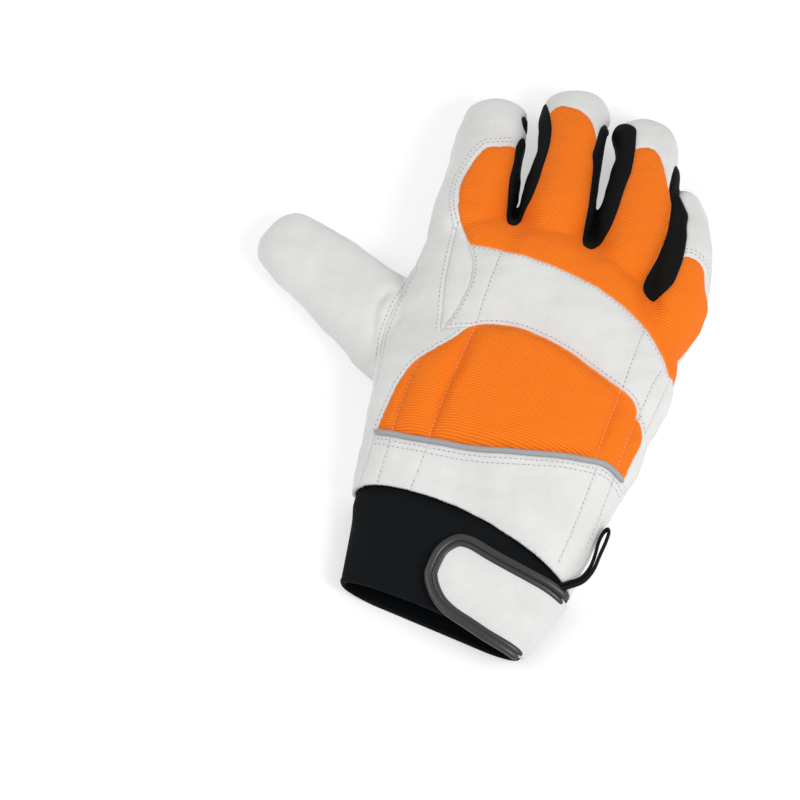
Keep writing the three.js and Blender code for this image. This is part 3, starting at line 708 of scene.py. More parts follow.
@dataclass
class Skin:
    """A triangle mesh with values on its vertices.

    Attributes:
        points: vertices in pattern millimetres.
        faces: vertex numbers of the triangles.
        values: one array for each named value.
    """

    points: np.ndarray
    faces: np.ndarray
    values: dict[str, np.ndarray] = field(default_factory=dict)

    def normals(self) -> np.ndarray:
        """Unit vertex normals."""
        a, b, c = (self.points[self.faces[:, k]] for k in range(3))
        face = np.cross(b - a, c - a)
        total = np.column_stack([
            sum(np.bincount(self.faces[:, k], face[:, axis], len(self.points)) for k in range(3))
            for axis in range(3)
        ])
        return total / np.maximum(np.linalg.norm(total, axis=1, keepdims=True), 1e-12)

    def edges(self) -> np.ndarray:
        """Each pair of joined vertices once."""
        pairs = np.vstack([self.faces[:, [0, 1]], self.faces[:, [1, 2]], self.faces[:, [2, 0]]])
        return np.unique(np.sort(pairs, axis=1), axis=0)

    def relax(self, values: np.ndarray, rounds: int, share: float = 0.5) -> np.ndarray:
        """Evens out a value or the points over the mesh.

        Args:
            values: one row for each vertex.
            rounds: how many passes.
            share: how far each vertex moves to its neighbours' mean in a pass.

        Returns:
            The evened values.
        """
        pairs = self.edges()
        count = np.bincount(pairs.ravel(), minlength=len(self.points))
        out = np.array(values, float)
        flat = out.ndim == 1
        out = out[:, None] if flat else out
        for _ in range(rounds):
            mean = np.column_stack([
                np.bincount(pairs[:, 0], out[pairs[:, 1], k], len(out))
                + np.bincount(pairs[:, 1], out[pairs[:, 0], k], len(out))
                for k in range(out.shape[1])
            ]) / np.maximum(count, 1)[:, None]
            out += share * (mean - out)
        return out[:, 0] if flat else out

    def cut(self, name: str, level: float = 0.0, snap: float = 0.1) -> None:
        """Splits triangles where a value crosses a level.

        Args:
            name: which value.
            level: the level at which new vertices are set.
            snap: vertices this near the level count as on it.
        """
        value = self.values[name] - level
        value = np.where(np.abs(value) < snap, 0.0, value)
        sign = np.sign(value)[self.faces]
        crossing = (sign > 0).any(axis=1) & (sign < 0).any(axis=1)
        work = self.faces[crossing]
        if not len(work):
            return
        s = sign[crossing]
        pairs = np.sort(work[:, [[0, 1], [1, 2], [2, 0]]].reshape(-1, 2), axis=1)
        splits = value[pairs[:, 0]] * value[pairs[:, 1]] < 0
        edges, where = np.unique(pairs[splits], axis=0, return_inverse=True)
        t = (value[edges[:, 0]] / (value[edges[:, 0]] - value[edges[:, 1]]))[:, None]
        first = len(self.points)
        number = np.full(len(pairs), -1)
        number[splits] = first + where.ravel()
        number = number.reshape(-1, 3)
        start, end = edges[:, 0], edges[:, 1]
        self.points = np.vstack([self.points, self.points[start] * (1 - t) + self.points[end] * t])
        for key, old in self.values.items():
            self.values[key] = np.concatenate([old, old[start] * (1 - t[:, 0]) + old[end] * t[:, 0]])
        self.values[name][first:] = level
        made = [self.faces[~crossing]]
        for turn in range(3):
            order = [turn, (turn + 1) % 3, (turn + 2) % 3]
            a, b, c = (work[:, k] for k in order)
            sa, sb, sc = (s[:, k] for k in order)
            alone = (sa * sb < 0) & (sa * sc < 0)
            p, q = number[:, order[0]], number[:, order[2]]
            made += [np.column_stack(t3)[alone] for t3 in ((a, p, q), (p, b, c), (p, c, q))]
            touching = (sa == 0) & (sb * sc < 0)
            r = number[:, order[1]]
            made += [np.column_stack(t3)[touching] for t3 in ((a, b, r), (a, r, c))]
        self.faces = np.vstack(made)


def new_object(name: str, points: np.ndarray, faces: Sequence[Sequence[int]]) -> bpy.types.Object:
    """A mesh object in the scene, from row metres.

    Args:
        name: its name.
        points: vertices in row metres.
        faces: vertex numbers of each face.

    Returns:
        The object, smooth shaded.
    """
    mesh = bpy.data.meshes.new(name)
    mesh.from_pydata(np.asarray(points).tolist(), [], [list(map(int, f)) for f in faces])
    mesh.shade_smooth()
    made = bpy.data.objects.new(name, mesh)
    bpy.context.scene.collection.objects.link(made)
    return made


def add_value(mesh: bpy.types.Mesh, name: str, values: np.ndarray) -> None:
    """Stores one number for each vertex, for a material to read."""
    mesh.attributes.new(name, "FLOAT", "POINT").data.foreach_set("value", np.asarray(values, np.float32))


@dataclass
class SkinBuilder:
    """Builds the glove's smooth outer form.

    Attributes:
        voxel: size of the cells in which the tubes are joined.
        evening: rounds of smoothing over the joins.
    """

    voxel: float = SKIN_VOXEL
    evening: int = 9

    def build(self) -> Skin:
        """Joins the hand, fingers and thumb and evens out the joins.

        Returns:
            The whole outer form as triangles.
        """
        tubes = [hand_rings()]
        tubes += [digit_rings(f, FINGER, FINGER_HEIGHT) for f in FINGERS.values()]
        tubes.append(digit_rings(Thumb(), THUMB, THUMB_HEIGHT))
        points, faces = joined([Loft(rings).mesh() for rings in tubes])
        source = new_object("tubes", to_row(points), faces)
        remesh = source.modifiers.new("join", "REMESH")
        remesh.mode = "VOXEL"
        remesh.voxel_size = self.voxel * MM
        graph = bpy.context.evaluated_depsgraph_get()
        mesh = bpy.data.meshes.new_from_object(source.evaluated_get(graph))
        mesh.calc_loop_triangles()
        co = np.zeros(len(mesh.vertices) * 3, np.float32)
        mesh.vertices.foreach_get("co", co)
        tris = np.zeros(len(mesh.loop_triangles) * 3, np.int32)
        mesh.loop_triangles.foreach_get("vertices", tris)
        bpy.data.objects.remove(source)
        bpy.data.meshes.remove(mesh)
        pattern = co.reshape(-1, 3).astype(float) / MM - PATTERN_ORIGIN
        skin = Skin(pattern, tris.reshape(-1, 3).astype(np.int64))
        for share in (0.55, -0.57) * self.evening:
            skin.points = skin.relax(skin.points, 1, share)
        skin.points[:, 2] = np.maximum(skin.points[:, 2], 0)
        return skin


@dataclass(frozen=True)
class Fold:
    """A crease or a ridge along a plan line on the back.

    Attributes:
        line: control points in the pattern frame.
        depth: how far the skin sinks along it; negative for a ridge.
        width: how far it reaches to each side.
    """

    line: Points
    depth: float
    width: float

    def sink(self, points: np.ndarray) -> np.ndarray:
        """How far each point sinks."""
        line = smooth_line(self.line)
        near = line_distance(points, line)
        length = np.linalg.norm(line[-1] - line[0])
        ends = np.minimum(
            np.linalg.norm(points[:, :2] - line[0], axis=1), np.linalg.norm(points[:, :2] - line[-1], axis=1)
        )
        fade = np.clip(ends / max(0.25 * length, 1e-6), 0, 1)
        return self.depth * np.exp(-((near / self.width) ** 2)) * fade


VALLEYS = (
    (-0.32, 0.98, 0.09, 0.14, 0.06),
    (0.22, 0.97, 0.09, 0.14, 0.06),
    (0.74, 0.86, 0.09, 0.14, 0.06),
    (-0.8, 0.58, 0.16, 0.12, 0.07),
    (0.1, 0.08, 0.5, 0.05, 0.03),
)


def valley_depth(points: np.ndarray) -> np.ndarray:
    """Valleys between the knuckles and dents in the leather, in millimetres."""
    depth = np.zeros(len(points))
    for x, y, across, along, deep in VALLEYS:
        dx = (points[:, 0] - x * HALF) / (across * PALM_WIDTH)
        dy = (points[:, 1] - CUFF_LENGTH - y * PALM_LENGTH) / (along * PALM_LENGTH)
        depth += deep * PALM_HEIGHT * np.exp(-2 * (dx**2 + dy**2))
    return depth


@dataclass(frozen=True)
class Profile:
    """How a panel stands over the skin.

    Attributes:
        puff: how far its middle stands out.
        reach: how far from the seam it takes to stand out.
        groove: how far its edge sinks at the seam.
        ridge: height of a rolled edge just inside the seam.
        wall: its thickness below the skin.
    """

    puff: float
    reach: float
    groove: float
    ridge: float = 0.0
    wall: float = WALL

    def lift(self, inside: np.ndarray) -> np.ndarray:
        """How far each point stands over the skin at its distance inside the seam."""
        inside = np.maximum(inside, 0)
        lift = self.puff * (1 - np.exp(-inside / self.reach)) - self.groove * np.exp(-inside / 0.7)
        return lift + self.ridge * np.exp(-(((inside - 1.3) / 0.9) ** 2))


LEATHER_PROFILE = Profile(puff=0.35, reach=2.5, groove=0.55)
PROFILES = {
    Panel.KNUCKLE_FABRIC: Profile(puff=1.1, reach=2.6, groove=0.4),
    Panel.KNUCKLE_BAND: Profile(puff=0.6, reach=3.0, groove=0.5),
    Panel.BACK_PAD: Profile(puff=2.0, reach=2.6, groove=0.3, wall=2.4),
    Panel.CUFF_LEATHER: Profile(puff=0.5, reach=3.0, groove=0.4),
    Panel.INDEX_GUSSET: Profile(puff=0.4, reach=2.0, groove=0.5),
    Panel.FOURCHETTE_INDEX_MIDDLE: Profile(puff=0.3, reach=1.0, groove=0.3, ridge=0.4),
    Panel.FOURCHETTE_MIDDLE_RING: Profile(puff=0.3, reach=1.0, groove=0.3, ridge=0.4),
    Panel.FOURCHETTE_RING_PINKY: Profile(puff=0.3, reach=1.0, groove=0.3, ridge=0.4),
    Panel.THUMB_LEATHER: LEATHER_PROFILE,
    Panel.PALM_LEATHER: LEATHER_PROFILE,
}


@dataclass(frozen=True)
class Channel:
    """A sewn line inside a panel.

    Attributes:
        line: its plan points, as shares of half the palm width and of the palm length.
        panel: the panel that it crosses.
    """

    line: Points
    panel: Panel

    def plan(self) -> np.ndarray:
        """The line in plan millimetres."""
        return smooth_line([hand_point(x, y) for x, y in self.line])


CHANNELS = (
    Channel(((-0.31, 0.59), (-0.335, 0.37), (-0.359, 0.165)), Panel.BACK_PAD),
    Channel(((-0.605, 0.43), (-0.615, 0.3), (-0.628, 0.165)), Panel.BACK_PAD),
    Channel(((0.774, 0.528), (0.775, 0.402), (0.775, 0.26)), Panel.BACK_PAD),
    Channel(((0.925, 0.475), (0.927, 0.371), (0.924, 0.265)), Panel.BACK_PAD),
    Channel(((-0.348, 0.16), (-0.36, 0.06), (-0.373, -0.044)), Panel.CUFF_LEATHER),
    Channel(((-0.617, 0.156), (-0.612, 0.06), (-0.606, -0.043)), Panel.CUFF_LEATHER),
    Channel(((0.803, 0.25), (0.8, 0.149), (0.78, 0.004), (0.76, -0.09)), Panel.CUFF_LEATHER),
    Channel(((0.93, 0.25), (0.92, 0.13), (0.9, 0.0)), Panel.CUFF_LEATHER),
    Channel(((-0.322, 0.884), (-0.32, 0.75), (-0.316, 0.6)), Panel.KNUCKLE_BAND),
    Channel(((0.781, 0.785), (0.785, 0.67), (0.788, 0.53)), Panel.KNUCKLE_BAND),
    Channel(((0.98, 0.67), (0.96, 0.58), (0.942, 0.475)), Panel.KNUCKLE_BAND),
)

FOLDS = (
    Fold(((-60.5, 142), (-66.0, 136), (-67.0, 129), (-66.0, 122), (-64.0, 114), (-63.0, 107)), 1.3, 2.2),
    Fold(((-58.0, 139), (-62.5, 131), (-62.5, 123), (-60.5, 114)), -0.9, 2.6),
)


def panel_fields(skin: Skin) -> dict[Panel, np.ndarray]:
    """Signed distances on the skin: negative where a panel's own cutter holds it."""
    points = skin.points
    found = {}
    for panel, (outlines, level) in panel_outlines().items():
        plan = np.min([outline_distance(points, outline) for outline in outlines], axis=0)
        found[panel] = np.maximum(plan, level - points[:, 2])
    outer = -2.4
    seam_line = seam("thumb_seam")
    corners = [hand_point(outer, 0.34), hand_point(outer, 1.1), hand_point(-0.985, 0.9)]
    outside = outline_distance(points, np.vstack([seam_line, corners]))
    patch = outline_distance(points, seam("thumb_palm_seam"))
    found[Panel.THUMB_LEATHER] = np.minimum(outside, np.maximum(patch, points[:, 2] - PATCH_LEVEL))
    return found


@dataclass
class Sewn:
    """One panel as a closed body.

    Attributes:
        name: the panel's name.
        points: outer vertices in pattern millimetres, then as many inner ones.
        faces: triangles of the whole body.
        outer: triangles of the outer side alone.
        inside: each outer vertex's distance inside the seam.
        channel: each outer vertex's distance from the nearest sewn line.
    """

    name: str
    points: np.ndarray
    faces: np.ndarray
    outer: np.ndarray
    inside: np.ndarray
    channel: np.ndarray


def thick_body(
    points: np.ndarray, normals: np.ndarray, faces: np.ndarray, wall: float
) -> tuple[np.ndarray, np.ndarray]:
    """Closes an open patch with an inner side and a rim.

    Args:
        points: the patch's vertices.
        normals: their outward directions.
        faces: the patch's triangles.
        wall: how far the inner side lies below.

    Returns:
        Outer and inner vertices, and the triangles of the closed body.
    """
    count = len(points)
    inner = points - normals * wall
    inner[:, 2] = np.maximum(inner[:, 2], np.minimum(points[:, 2], 0) + FLOOR_WALL)
    edges = np.vstack([faces[:, [0, 1]], faces[:, [1, 2]], faces[:, [2, 0]]])
    key = np.sort(edges, axis=1)
    _, index, times = np.unique(key, axis=0, return_index=True, return_counts=True)
    rim = edges[index[times == 1]]
    a, b = rim[:, 0], rim[:, 1]
    band = [np.column_stack([b, a, a + count]), np.column_stack([b, a + count, b + count])]
    return np.vstack([points, inner]), np.vstack([faces, faces[:, ::-1] + count, *band])


@dataclass(frozen=True)
class Filling:
    """Swells a quilted panel between its seams and channels with a cloth simulation.

    Attributes:
        cell: spacing of the simulated sheet, in millimetres.
        pressure: how hard the filling pushes.
        frames: how long the simulation runs.
        cap: how far a point may rise, in millimetres.
        unit: millimetres in one unit of the simulated sheet.
    """

    cell: float = 2.5
    pressure: float = 4.0
    frames: int = 20
    cap: float = 3.4
    unit: float = 10.0

    def sheet(self, points: np.ndarray) -> tuple[np.ndarray, np.ndarray]:
        """An even grid over a panel.

        Args:
            points: the panel's own vertices.

        Returns:
            The panel vertex nearest to each grid node, and the grid's faces.
        """
        low, high = points[:, :2].min(axis=0), points[:, :2].max(axis=0)
        xs, ys = (np.arange(a, b, self.cell) for a, b in zip(low, high))
        number = np.full((len(xs), len(ys)), -1)
        picked: list[int] = []
        for i, x in enumerate(xs):
            for j, y in enumerate(ys):
                away = (points[:, 0] - x) ** 2 + (points[:, 1] - y) ** 2
                near = int(away.argmin())
                if away[near] < (0.45 * self.cell) ** 2:
                    number[i, j] = len(picked)
                    picked.append(near)
        a, b, c, d = number[:-1, :-1], number[1:, :-1], number[1:, 1:], number[:-1, 1:]
        faces = np.stack([a, b, c, d], axis=-1).reshape(-1, 4)
        return np.array(picked), faces[(faces >= 0).all(axis=1)]

    def rise(self, points: np.ndarray, normals: np.ndarray, pinned: np.ndarray) -> np.ndarray:
        """How far each vertex of a panel rises.

        Args:
            points: the panel's outer vertices.
            normals: their outward directions.
            pinned: which of them are held down by a seam or a channel.

        Returns:
            One distance for each vertex, in millimetres.
        """
        picked, faces = self.sheet(points)
        start = points[picked]
        piece = new_object("filling", start / self.unit, faces)
        held = piece.vertex_groups.new(name="held")
        held.add(np.flatnonzero(pinned[picked]).tolist(), 1.0, "REPLACE")
        cloth = piece.modifiers.new("filling", "CLOTH")
        cloth.settings.vertex_group_mass = "held"
        cloth.settings.use_pressure = True
        cloth.settings.uniform_pressure_force = self.pressure
        cloth.settings.effector_weights.gravity = 0
        cloth.point_cache.frame_end = self.frames
        for moment in range(1, self.frames + 1):
            bpy.context.scene.frame_set(moment)
        graph = bpy.context.evaluated_depsgraph_get()
        end = np.zeros(len(start) * 3, np.float32)
        piece.evaluated_get(graph).data.vertices.foreach_get("co", end)
        bpy.data.objects.remove(piece)
        bpy.context.scene.frame_set(1)
        risen = ((end.reshape(-1, 3) * self.unit - start) * normals[picked]).sum(axis=1)
        risen = np.clip(risen, 0, self.cap)
        log.info("filling: %d points, %.2f mm at most, %.2f mm mean", len(start), risen.max(), risen.mean())
        away = ((points[:, None, :2] - start[None, :, :2]) ** 2).sum(axis=2)
        weight = np.exp(-away / (0.7 * self.cell) ** 2) + 1e-12
        return (weight * risen).sum(axis=1) / weight.sum(axis=1)


# Soft dents all over the skin: height and wavelength in millimetres, and which set of waves.
SOFT_DENTS = ((0.35, 34, 3), (0.16, 13, 5))

# How far the frayed edge of the orange fabric wanders, and over what length.
FRAY_DEPTH = 0.22
FRAY_LENGTH = 2.6

# Rows of vertices are set at these distances from each seam and each sewn line.
SEAM_LEVELS = (0.0, -0.5, 0.5, -1.2, 1.2, -2.2, 2.2)
CHANNEL_LEVELS = (0.45, 1.0, 2.0)

# The filling is held down this near to a seam and to a sewn line.
HELD_AT_SEAM = 1.4
HELD_AT_CHANNEL = 1.3


@dataclass
class Tailor:
    """Cuts the skin into panels and gives each one its body.

    Attributes:
        skin: the whole outer form.
        sewn: the panels made so far.
    """

    skin: Skin
    sewn: dict[Panel, Sewn] = field(default_factory=dict)

    def shape(self) -> None:
        """Sinks the valleys, folds and soft dents into the skin."""
        points, normals = self.skin.points, self.skin.normals()
        up = np.clip(normals[:, 2] * 1.5 + 0.2, 0, 1)
        sink = valley_depth(points)
        for fold in FOLDS:
            sink += fold.sink(points)
        soft = sum(height * waves(points, length, seed) for height, length, seed in SOFT_DENTS)
        free = np.clip(points[:, 2] / 6, 0, 1)
        self.skin.points = points - normals * (sink * up)[:, None] + normals * (soft * free)[:, None]
        self.skin.points[:, 2] = np.maximum(self.skin.points[:, 2], 0)

    def cut(self) -> None:
        """Cuts the skin along all seams, with rows of vertices beside each one."""
        skin = self.skin
        ragged = FRAY_DEPTH * waves(skin.points, FRAY_LENGTH, 11, 9) * np.clip(skin.normals()[:, 2], 0.1, 1)
        for panel, value in panel_fields(skin).items():
            frays = panel in (Panel.KNUCKLE_FABRIC, Panel.BACK_PAD)
            skin.values[panel.value] = value + (ragged if frays else 0)
        skin.values["hem"] = hem_line(skin.points[:, 0]) - skin.points[:, 1]
        lines = [line_distance(skin.points, c.plan()) for c in CHANNELS]
        skin.values["channel"] = np.min(lines, axis=0)
        skin.cut("hem")
        keep = skin.values["hem"][skin.faces].mean(axis=1) < 0
        skin.faces = skin.faces[keep]
        for panel in list(Panel)[:-1]:
            for level in SEAM_LEVELS:
                skin.cut(panel.value, level)
        for level in CHANNEL_LEVELS:
            skin.cut("channel", level)

    def sew(self) -> None:
        """Gives each panel its puff, edges and thickness."""
        skin = self.skin
        normals = skin.normals()
        normals = skin.relax(normals, 2)
        normals /= np.maximum(np.linalg.norm(normals, axis=1, keepdims=True), 1e-9)
        names = [panel.value for panel in list(Panel)[:-1]]
        at_faces = {name: skin.values[name][skin.faces].mean(axis=1) for name in names}
        free = np.ones(len(skin.faces), bool)
        open_side = np.full(len(skin.points), 1e9)
        for panel in Panel:
            if panel is Panel.PALM_LEATHER:
                mine, inside = free, open_side.copy()
            else:
                value = skin.values[panel.value]
                mine, inside = free & (at_faces[panel.value] < 0), np.minimum(-value, open_side)
                free = free & ~mine
                open_side = np.minimum(open_side, value)
            inside = np.minimum(inside, -skin.values["hem"] + 0.6)
            self.sewn[panel] = self.body(panel, skin.faces[mine], inside, normals)

    def body(self, panel: Panel, faces: np.ndarray, inside: np.ndarray, normals: np.ndarray) -> Sewn:
        """One panel's closed body from its share of the skin.

        Args:
            panel: which one.
            faces: its triangles of the skin.
            inside: every skin vertex's distance inside this panel.
            normals: every skin vertex's outward direction.

        Returns:
            The sewn panel.
        """
        used, local = np.unique(faces, return_inverse=True)
        local = local.reshape(-1, 3)
        points, out = self.skin.points[used], normals[used]
        profile = PROFILES[panel]
        own, channel = inside[used], self.skin.values["channel"][used]
        lift = profile.lift(own)
        if panel is Panel.BACK_PAD:
            pinned = (own < HELD_AT_SEAM) | (channel < HELD_AT_CHANNEL)
            rise = Filling().rise(points, out, pinned)
            lift = 0.35 * lift + rise * (1 - np.exp(-np.maximum(own, 0) / 1.2))
            lift = lift * (1 - 0.8 * np.exp(-((channel / 1.5) ** 2))) - 0.15 * np.exp(-((channel / 0.6) ** 2))
        elif panel in (Panel.KNUCKLE_BAND, Panel.CUFF_LEATHER):
            lift -= 0.38 * np.exp(-((channel / 0.8) ** 2))
        floor = np.clip(points[:, 2] / 3, 0, 1)
        outer = points + out * (lift * floor)[:, None]
        outer[:, 2] = np.maximum(outer[:, 2], 0)
        both, whole = thick_body(outer, out, local, profile.wall + lift.mean())
        return Sewn(panel.value, both, whole, local, own, channel)


# Knit cuff, strap and loop


def cuff_ring(along: float, offset: float, count: int) -> np.ndarray:
    """One ring of the cuff's form, moved out by an offset."""
    across, lift = CUFF_ROUND.ring(count)
    half = CUFF_WIDTH / 2
    left = float(table_at(along, CUFF.along, CUFF.left)) * half - offset
    right = float(table_at(along, CUFF.along, CUFF.right)) * half + offset
    high = float(table_at(along, CUFF.along, CUFF.high)) * CUFF_HEIGHT + offset
    bottom = max(float(np.interp(along, CUFF.along, CUFF.low)) * (WALL + 0.3) - offset, 0)
    wide = CUFF_WIDE_LEVEL * high
    x = (left + right) / 2 + (right - left) / 2 * across
    y = rim_line(x) + (hem_line(x) + CUFF_TUCK - rim_line(x)) * along
    z = wide + np.where(lift > 0, high - wide, wide + 0.8) * lift
    return np.column_stack([x, y, np.maximum(z, bottom)])


@dataclass
class KnitCuff:
    """The knit tube with its rolled rim, open at both ends.

    Attributes:
        wall: its thickness.
        roll: radius of the rim's roll.
        count: points in a ring.
        length: how much knitting lies between the rim and the hem.
        outer, rim, inner: how many rings the outside, the rim's roll and the inside have.
    """

    wall: float = 2.2
    roll: float = 1.35
    count: int = 200
    length: float = 52.0
    outer: int = 46
    rim: int = 13
    inner: int = 28

    def build(self) -> bpy.types.Object:
        """The tube as one closed body.

        Returns:
            The object, with its knitting directions stored on it.
        """
        rings, course = [], []
        for along in np.linspace(1, 0.03, self.outer):
            rings.append(cuff_ring(along, 0, self.count))
            course.append(along * self.length)
        for turn in np.linspace(0, math.pi, self.rim):
            ring = cuff_ring(0.02, -self.wall / 2 + self.roll * math.cos(turn), self.count)
            ring[:, 1] -= self.roll * math.sin(turn)
            rings.append(ring)
            course.append(1 - self.roll * turn)
        for along in np.linspace(0.03, 1, self.inner):
            rings.append(cuff_ring(along, -self.wall, self.count))
            course.append(-along * self.length)
        points = np.array(rings)
        sag = 0.35 * waves(points.reshape(-1, 3), 30, 21).reshape(points.shape[:2])
        points[:, :, 2] = np.maximum(points[:, :, 2] + sag * np.clip(points[:, :, 2] / 6, 0, 1), 0)
        rows, count = points.shape[:2]
        row, k = np.meshgrid(np.arange(rows), np.arange(count), indexing="ij")
        a, b = row * count + k, row * count + (k + 1) % count
        c, d = (row + 1) % rows * count + (k + 1) % count, (row + 1) % rows * count + k
        faces = np.stack([a, b, c, d], axis=-1).reshape(-1, 4)
        made = new_object("knit_cuff_looks", to_row(points.reshape(-1, 3)), faces)
        arc = np.concatenate([[0], np.cumsum(np.linalg.norm(np.diff(points[0], axis=0), axis=1))])
        add_value(made.data, "wale", np.tile(arc, rows))
        add_value(made.data, "course", np.repeat(course, count))
        return made


def cuff_form(offset: float, rows: int = 70, count: int = 260) -> Skin:
    """The cuff's outer form as an open tube that runs on past the rim, for what lies on it."""
    rings = np.array([cuff_ring(along, offset, count) for along in np.linspace(-0.25, 1, rows)])
    row, k = np.meshgrid(np.arange(rows - 1), np.arange(count), indexing="ij")
    a, b = row * count + k, row * count + (k + 1) % count
    faces = np.vstack([
        np.stack([a, b + count, b], axis=-1).reshape(-1, 3),
        np.stack([a, a + count, b + count], axis=-1).reshape(-1, 3),
    ])
    return Skin(rings.reshape(-1, 3), faces)


# The strap's rows: share of the way from its far end to its tip, and its upper and lower edges.
STRAP_ROWS = (
    (1.0, 0.02, -0.02), (0.985, 0.24, -0.13), (0.94, 0.4, -0.27), (0.86, 0.52, -0.42), (0.75, 0.53, -0.53),
    (0.62, 0.47, -0.6), (0.48, 0.42, -0.67), (0.33, 0.38, -0.71), (0.16, 0.34, -0.74), (-0.1, 0.24, -0.76),
)


def strap_line() -> np.ndarray:
    """The strap's edge in plan, from the side seam round the tongue's tip and back."""
    tip_x, tip_y = -0.13 * CUFF_WIDTH / 2, 0.31 * CUFF_LENGTH
    lower = [(tip_x + (1 - x) * STRAP_LENGTH, tip_y + low * STRAP_WIDTH) for x, _, low in STRAP_ROWS]
    upper = [(tip_x + (1 - x) * STRAP_LENGTH, tip_y + up * STRAP_WIDTH) for x, up, _ in STRAP_ROWS]
    return smooth_line(lower[::-1] + upper[1:], 0.7)


class Surface:
    """A surface on which lines can be laid from above."""

    def __init__(self, points: np.ndarray, faces: np.ndarray) -> None:
        """Stores the triangles for searching."""
        self.tree = BVHTree.FromPolygons(points.tolist(), faces.tolist())

    def lay(self, plan: np.ndarray, above: float = 0.0, steep: float = 0.12) -> tuple[np.ndarray, np.ndarray]:
        """Drops plan points onto the surface.

        Args:
            plan: points in plan millimetres.
            above: how far over the surface they end.
            steep: the least upward share of the surface's direction that counts.

        Returns:
            The points that met the surface, and the surface's directions there.
        """
        found, normals = [], []
        for x, y in plan[:, :2]:
            place, normal, _, _ = self.tree.ray_cast(Vector((x, y, OVERHEAD)), Vector((0, 0, -1)))
            if place is not None and normal.z > steep:
                found.append(np.array(place) + above * np.array(normal))
                normals.append(np.array(normal))
        return np.array(found).reshape(-1, 3), np.array(normals).reshape(-1, 3)


def even(line: np.ndarray, rounds: int) -> np.ndarray:
    """Evens out an open line, with its ends kept."""
    out = np.array(line, float)
    for _ in range(rounds):
        out[1:-1] = 0.5 * out[1:-1] + 0.25 * (out[:-2] + out[2:])
    return out


def sweep(
    path: np.ndarray, up: np.ndarray, profile: np.ndarray, taper: bool = True
) -> tuple[np.ndarray, Faces]:
    """Draws a closed profile along a path.

    Args:
        path: points of the path.
        up: the profile's upward direction at each one.
        profile: its points: sideways to the left, and up.
        taper: whether the ends are rounded off.

    Returns:
        Vertices and faces, closed at both ends.
    """
    ahead = np.gradient(path, axis=0)
    ahead /= np.maximum(np.linalg.norm(ahead, axis=1, keepdims=True), 1e-9)
    left = np.cross(up, ahead)
    left /= np.maximum(np.linalg.norm(left, axis=1, keepdims=True), 1e-9)
    top = np.cross(ahead, left)
    scale = np.ones(len(path))
    if taper:
        scale[[0, -1]], scale[[1, -2]] = 0.55, 0.88
    centre = profile.mean(axis=0)
    shape = (profile - centre)[None] * scale[:, None, None] + centre
    points = path[:, None] + left[:, None] * shape[..., :1] + top[:, None] * shape[..., 1:]
    return Loft(points).mesh()


def round_profile(width: float, height: float, count: int = 12, level: float = 0.0) -> np.ndarray:
    """An ellipse as a sweep's profile."""
    angle = np.linspace(0, 2 * math.pi, count, endpoint=False)
    return np.column_stack([width / 2 * np.cos(angle), level + height / 2 * np.sin(angle)])


@dataclass
class Strap:
    """The wrist strap's leather tongue with its bound edge.

    Attributes:
        wall: thickness of the tongue.
        binding: width of the bound edge.
        seat: how far over the knit they lie.
        level: height at which the tongue ends at the side.
    """

    wall: float = 1.8
    binding: float = 5.5
    seat: float = 0.3
    level: float = 9.0

    def tongue(self) -> bpy.types.Object:
        """The leather inside the binding."""
        form = cuff_form(self.seat + self.wall)
        outline = strap_line()
        form.values["edge"] = outline_distance(form.points, outline) + self.binding - 1.6
        form.values["level"] = self.level - form.points[:, 2]
        for name, level in (("edge", 0.0), ("edge", -0.8), ("edge", -2.0), ("level", 0.0)):
            form.cut(name, level, 0.05)
        edge, level = (form.values[name][form.faces].mean(axis=1) for name in ("edge", "level"))
        keep = (edge < 0) & (level < 0)
        used, local = np.unique(form.faces[keep], return_inverse=True)
        local = local.reshape(-1, 3)
        normals = form.normals()[used]
        lift = 0.7 * (1 - np.exp(form.values["edge"][used] / 2.2)) - 0.3
        outer = form.points[used] + normals * lift[:, None]
        both, faces = thick_body(outer, normals, local, self.wall + 0.4)
        return new_object("closure_strap_looks", to_row(both), faces)

    def edge(self) -> bpy.types.Object:
        """The rounded cord and the sewn flange inside it."""
        form = cuff_form(self.seat)
        surface = Surface(form.points, form.faces)
        line = resample(strap_line()[6:-8], 0.8)
        parts = []
        for inset, profile in (
            (1.9, round_profile(3.8, 3.4, 16, 1.7)),
            (4.6, round_profile(2.6, 1.5, 12, 2.0)),
        ):
            laid, up = surface.lay(beside(line, -inset), steep=0.45)
            parts.append(sweep(even(laid, 6), even(up, 12), profile))
        points, faces = joined(parts)
        return new_object("strap_piping_looks", to_row(points), faces)


LOOP_LINE: Points = (
    (51.5, 25.2), (53.9, 26.9), (57.2, 29.4), (60.1, 31.9), (61.9, 35.6), (62.9, 40.1), (63.0, 45.2),
    (62.9, 50.9), (63.0, 55.7), (63.4, 59.6),
)


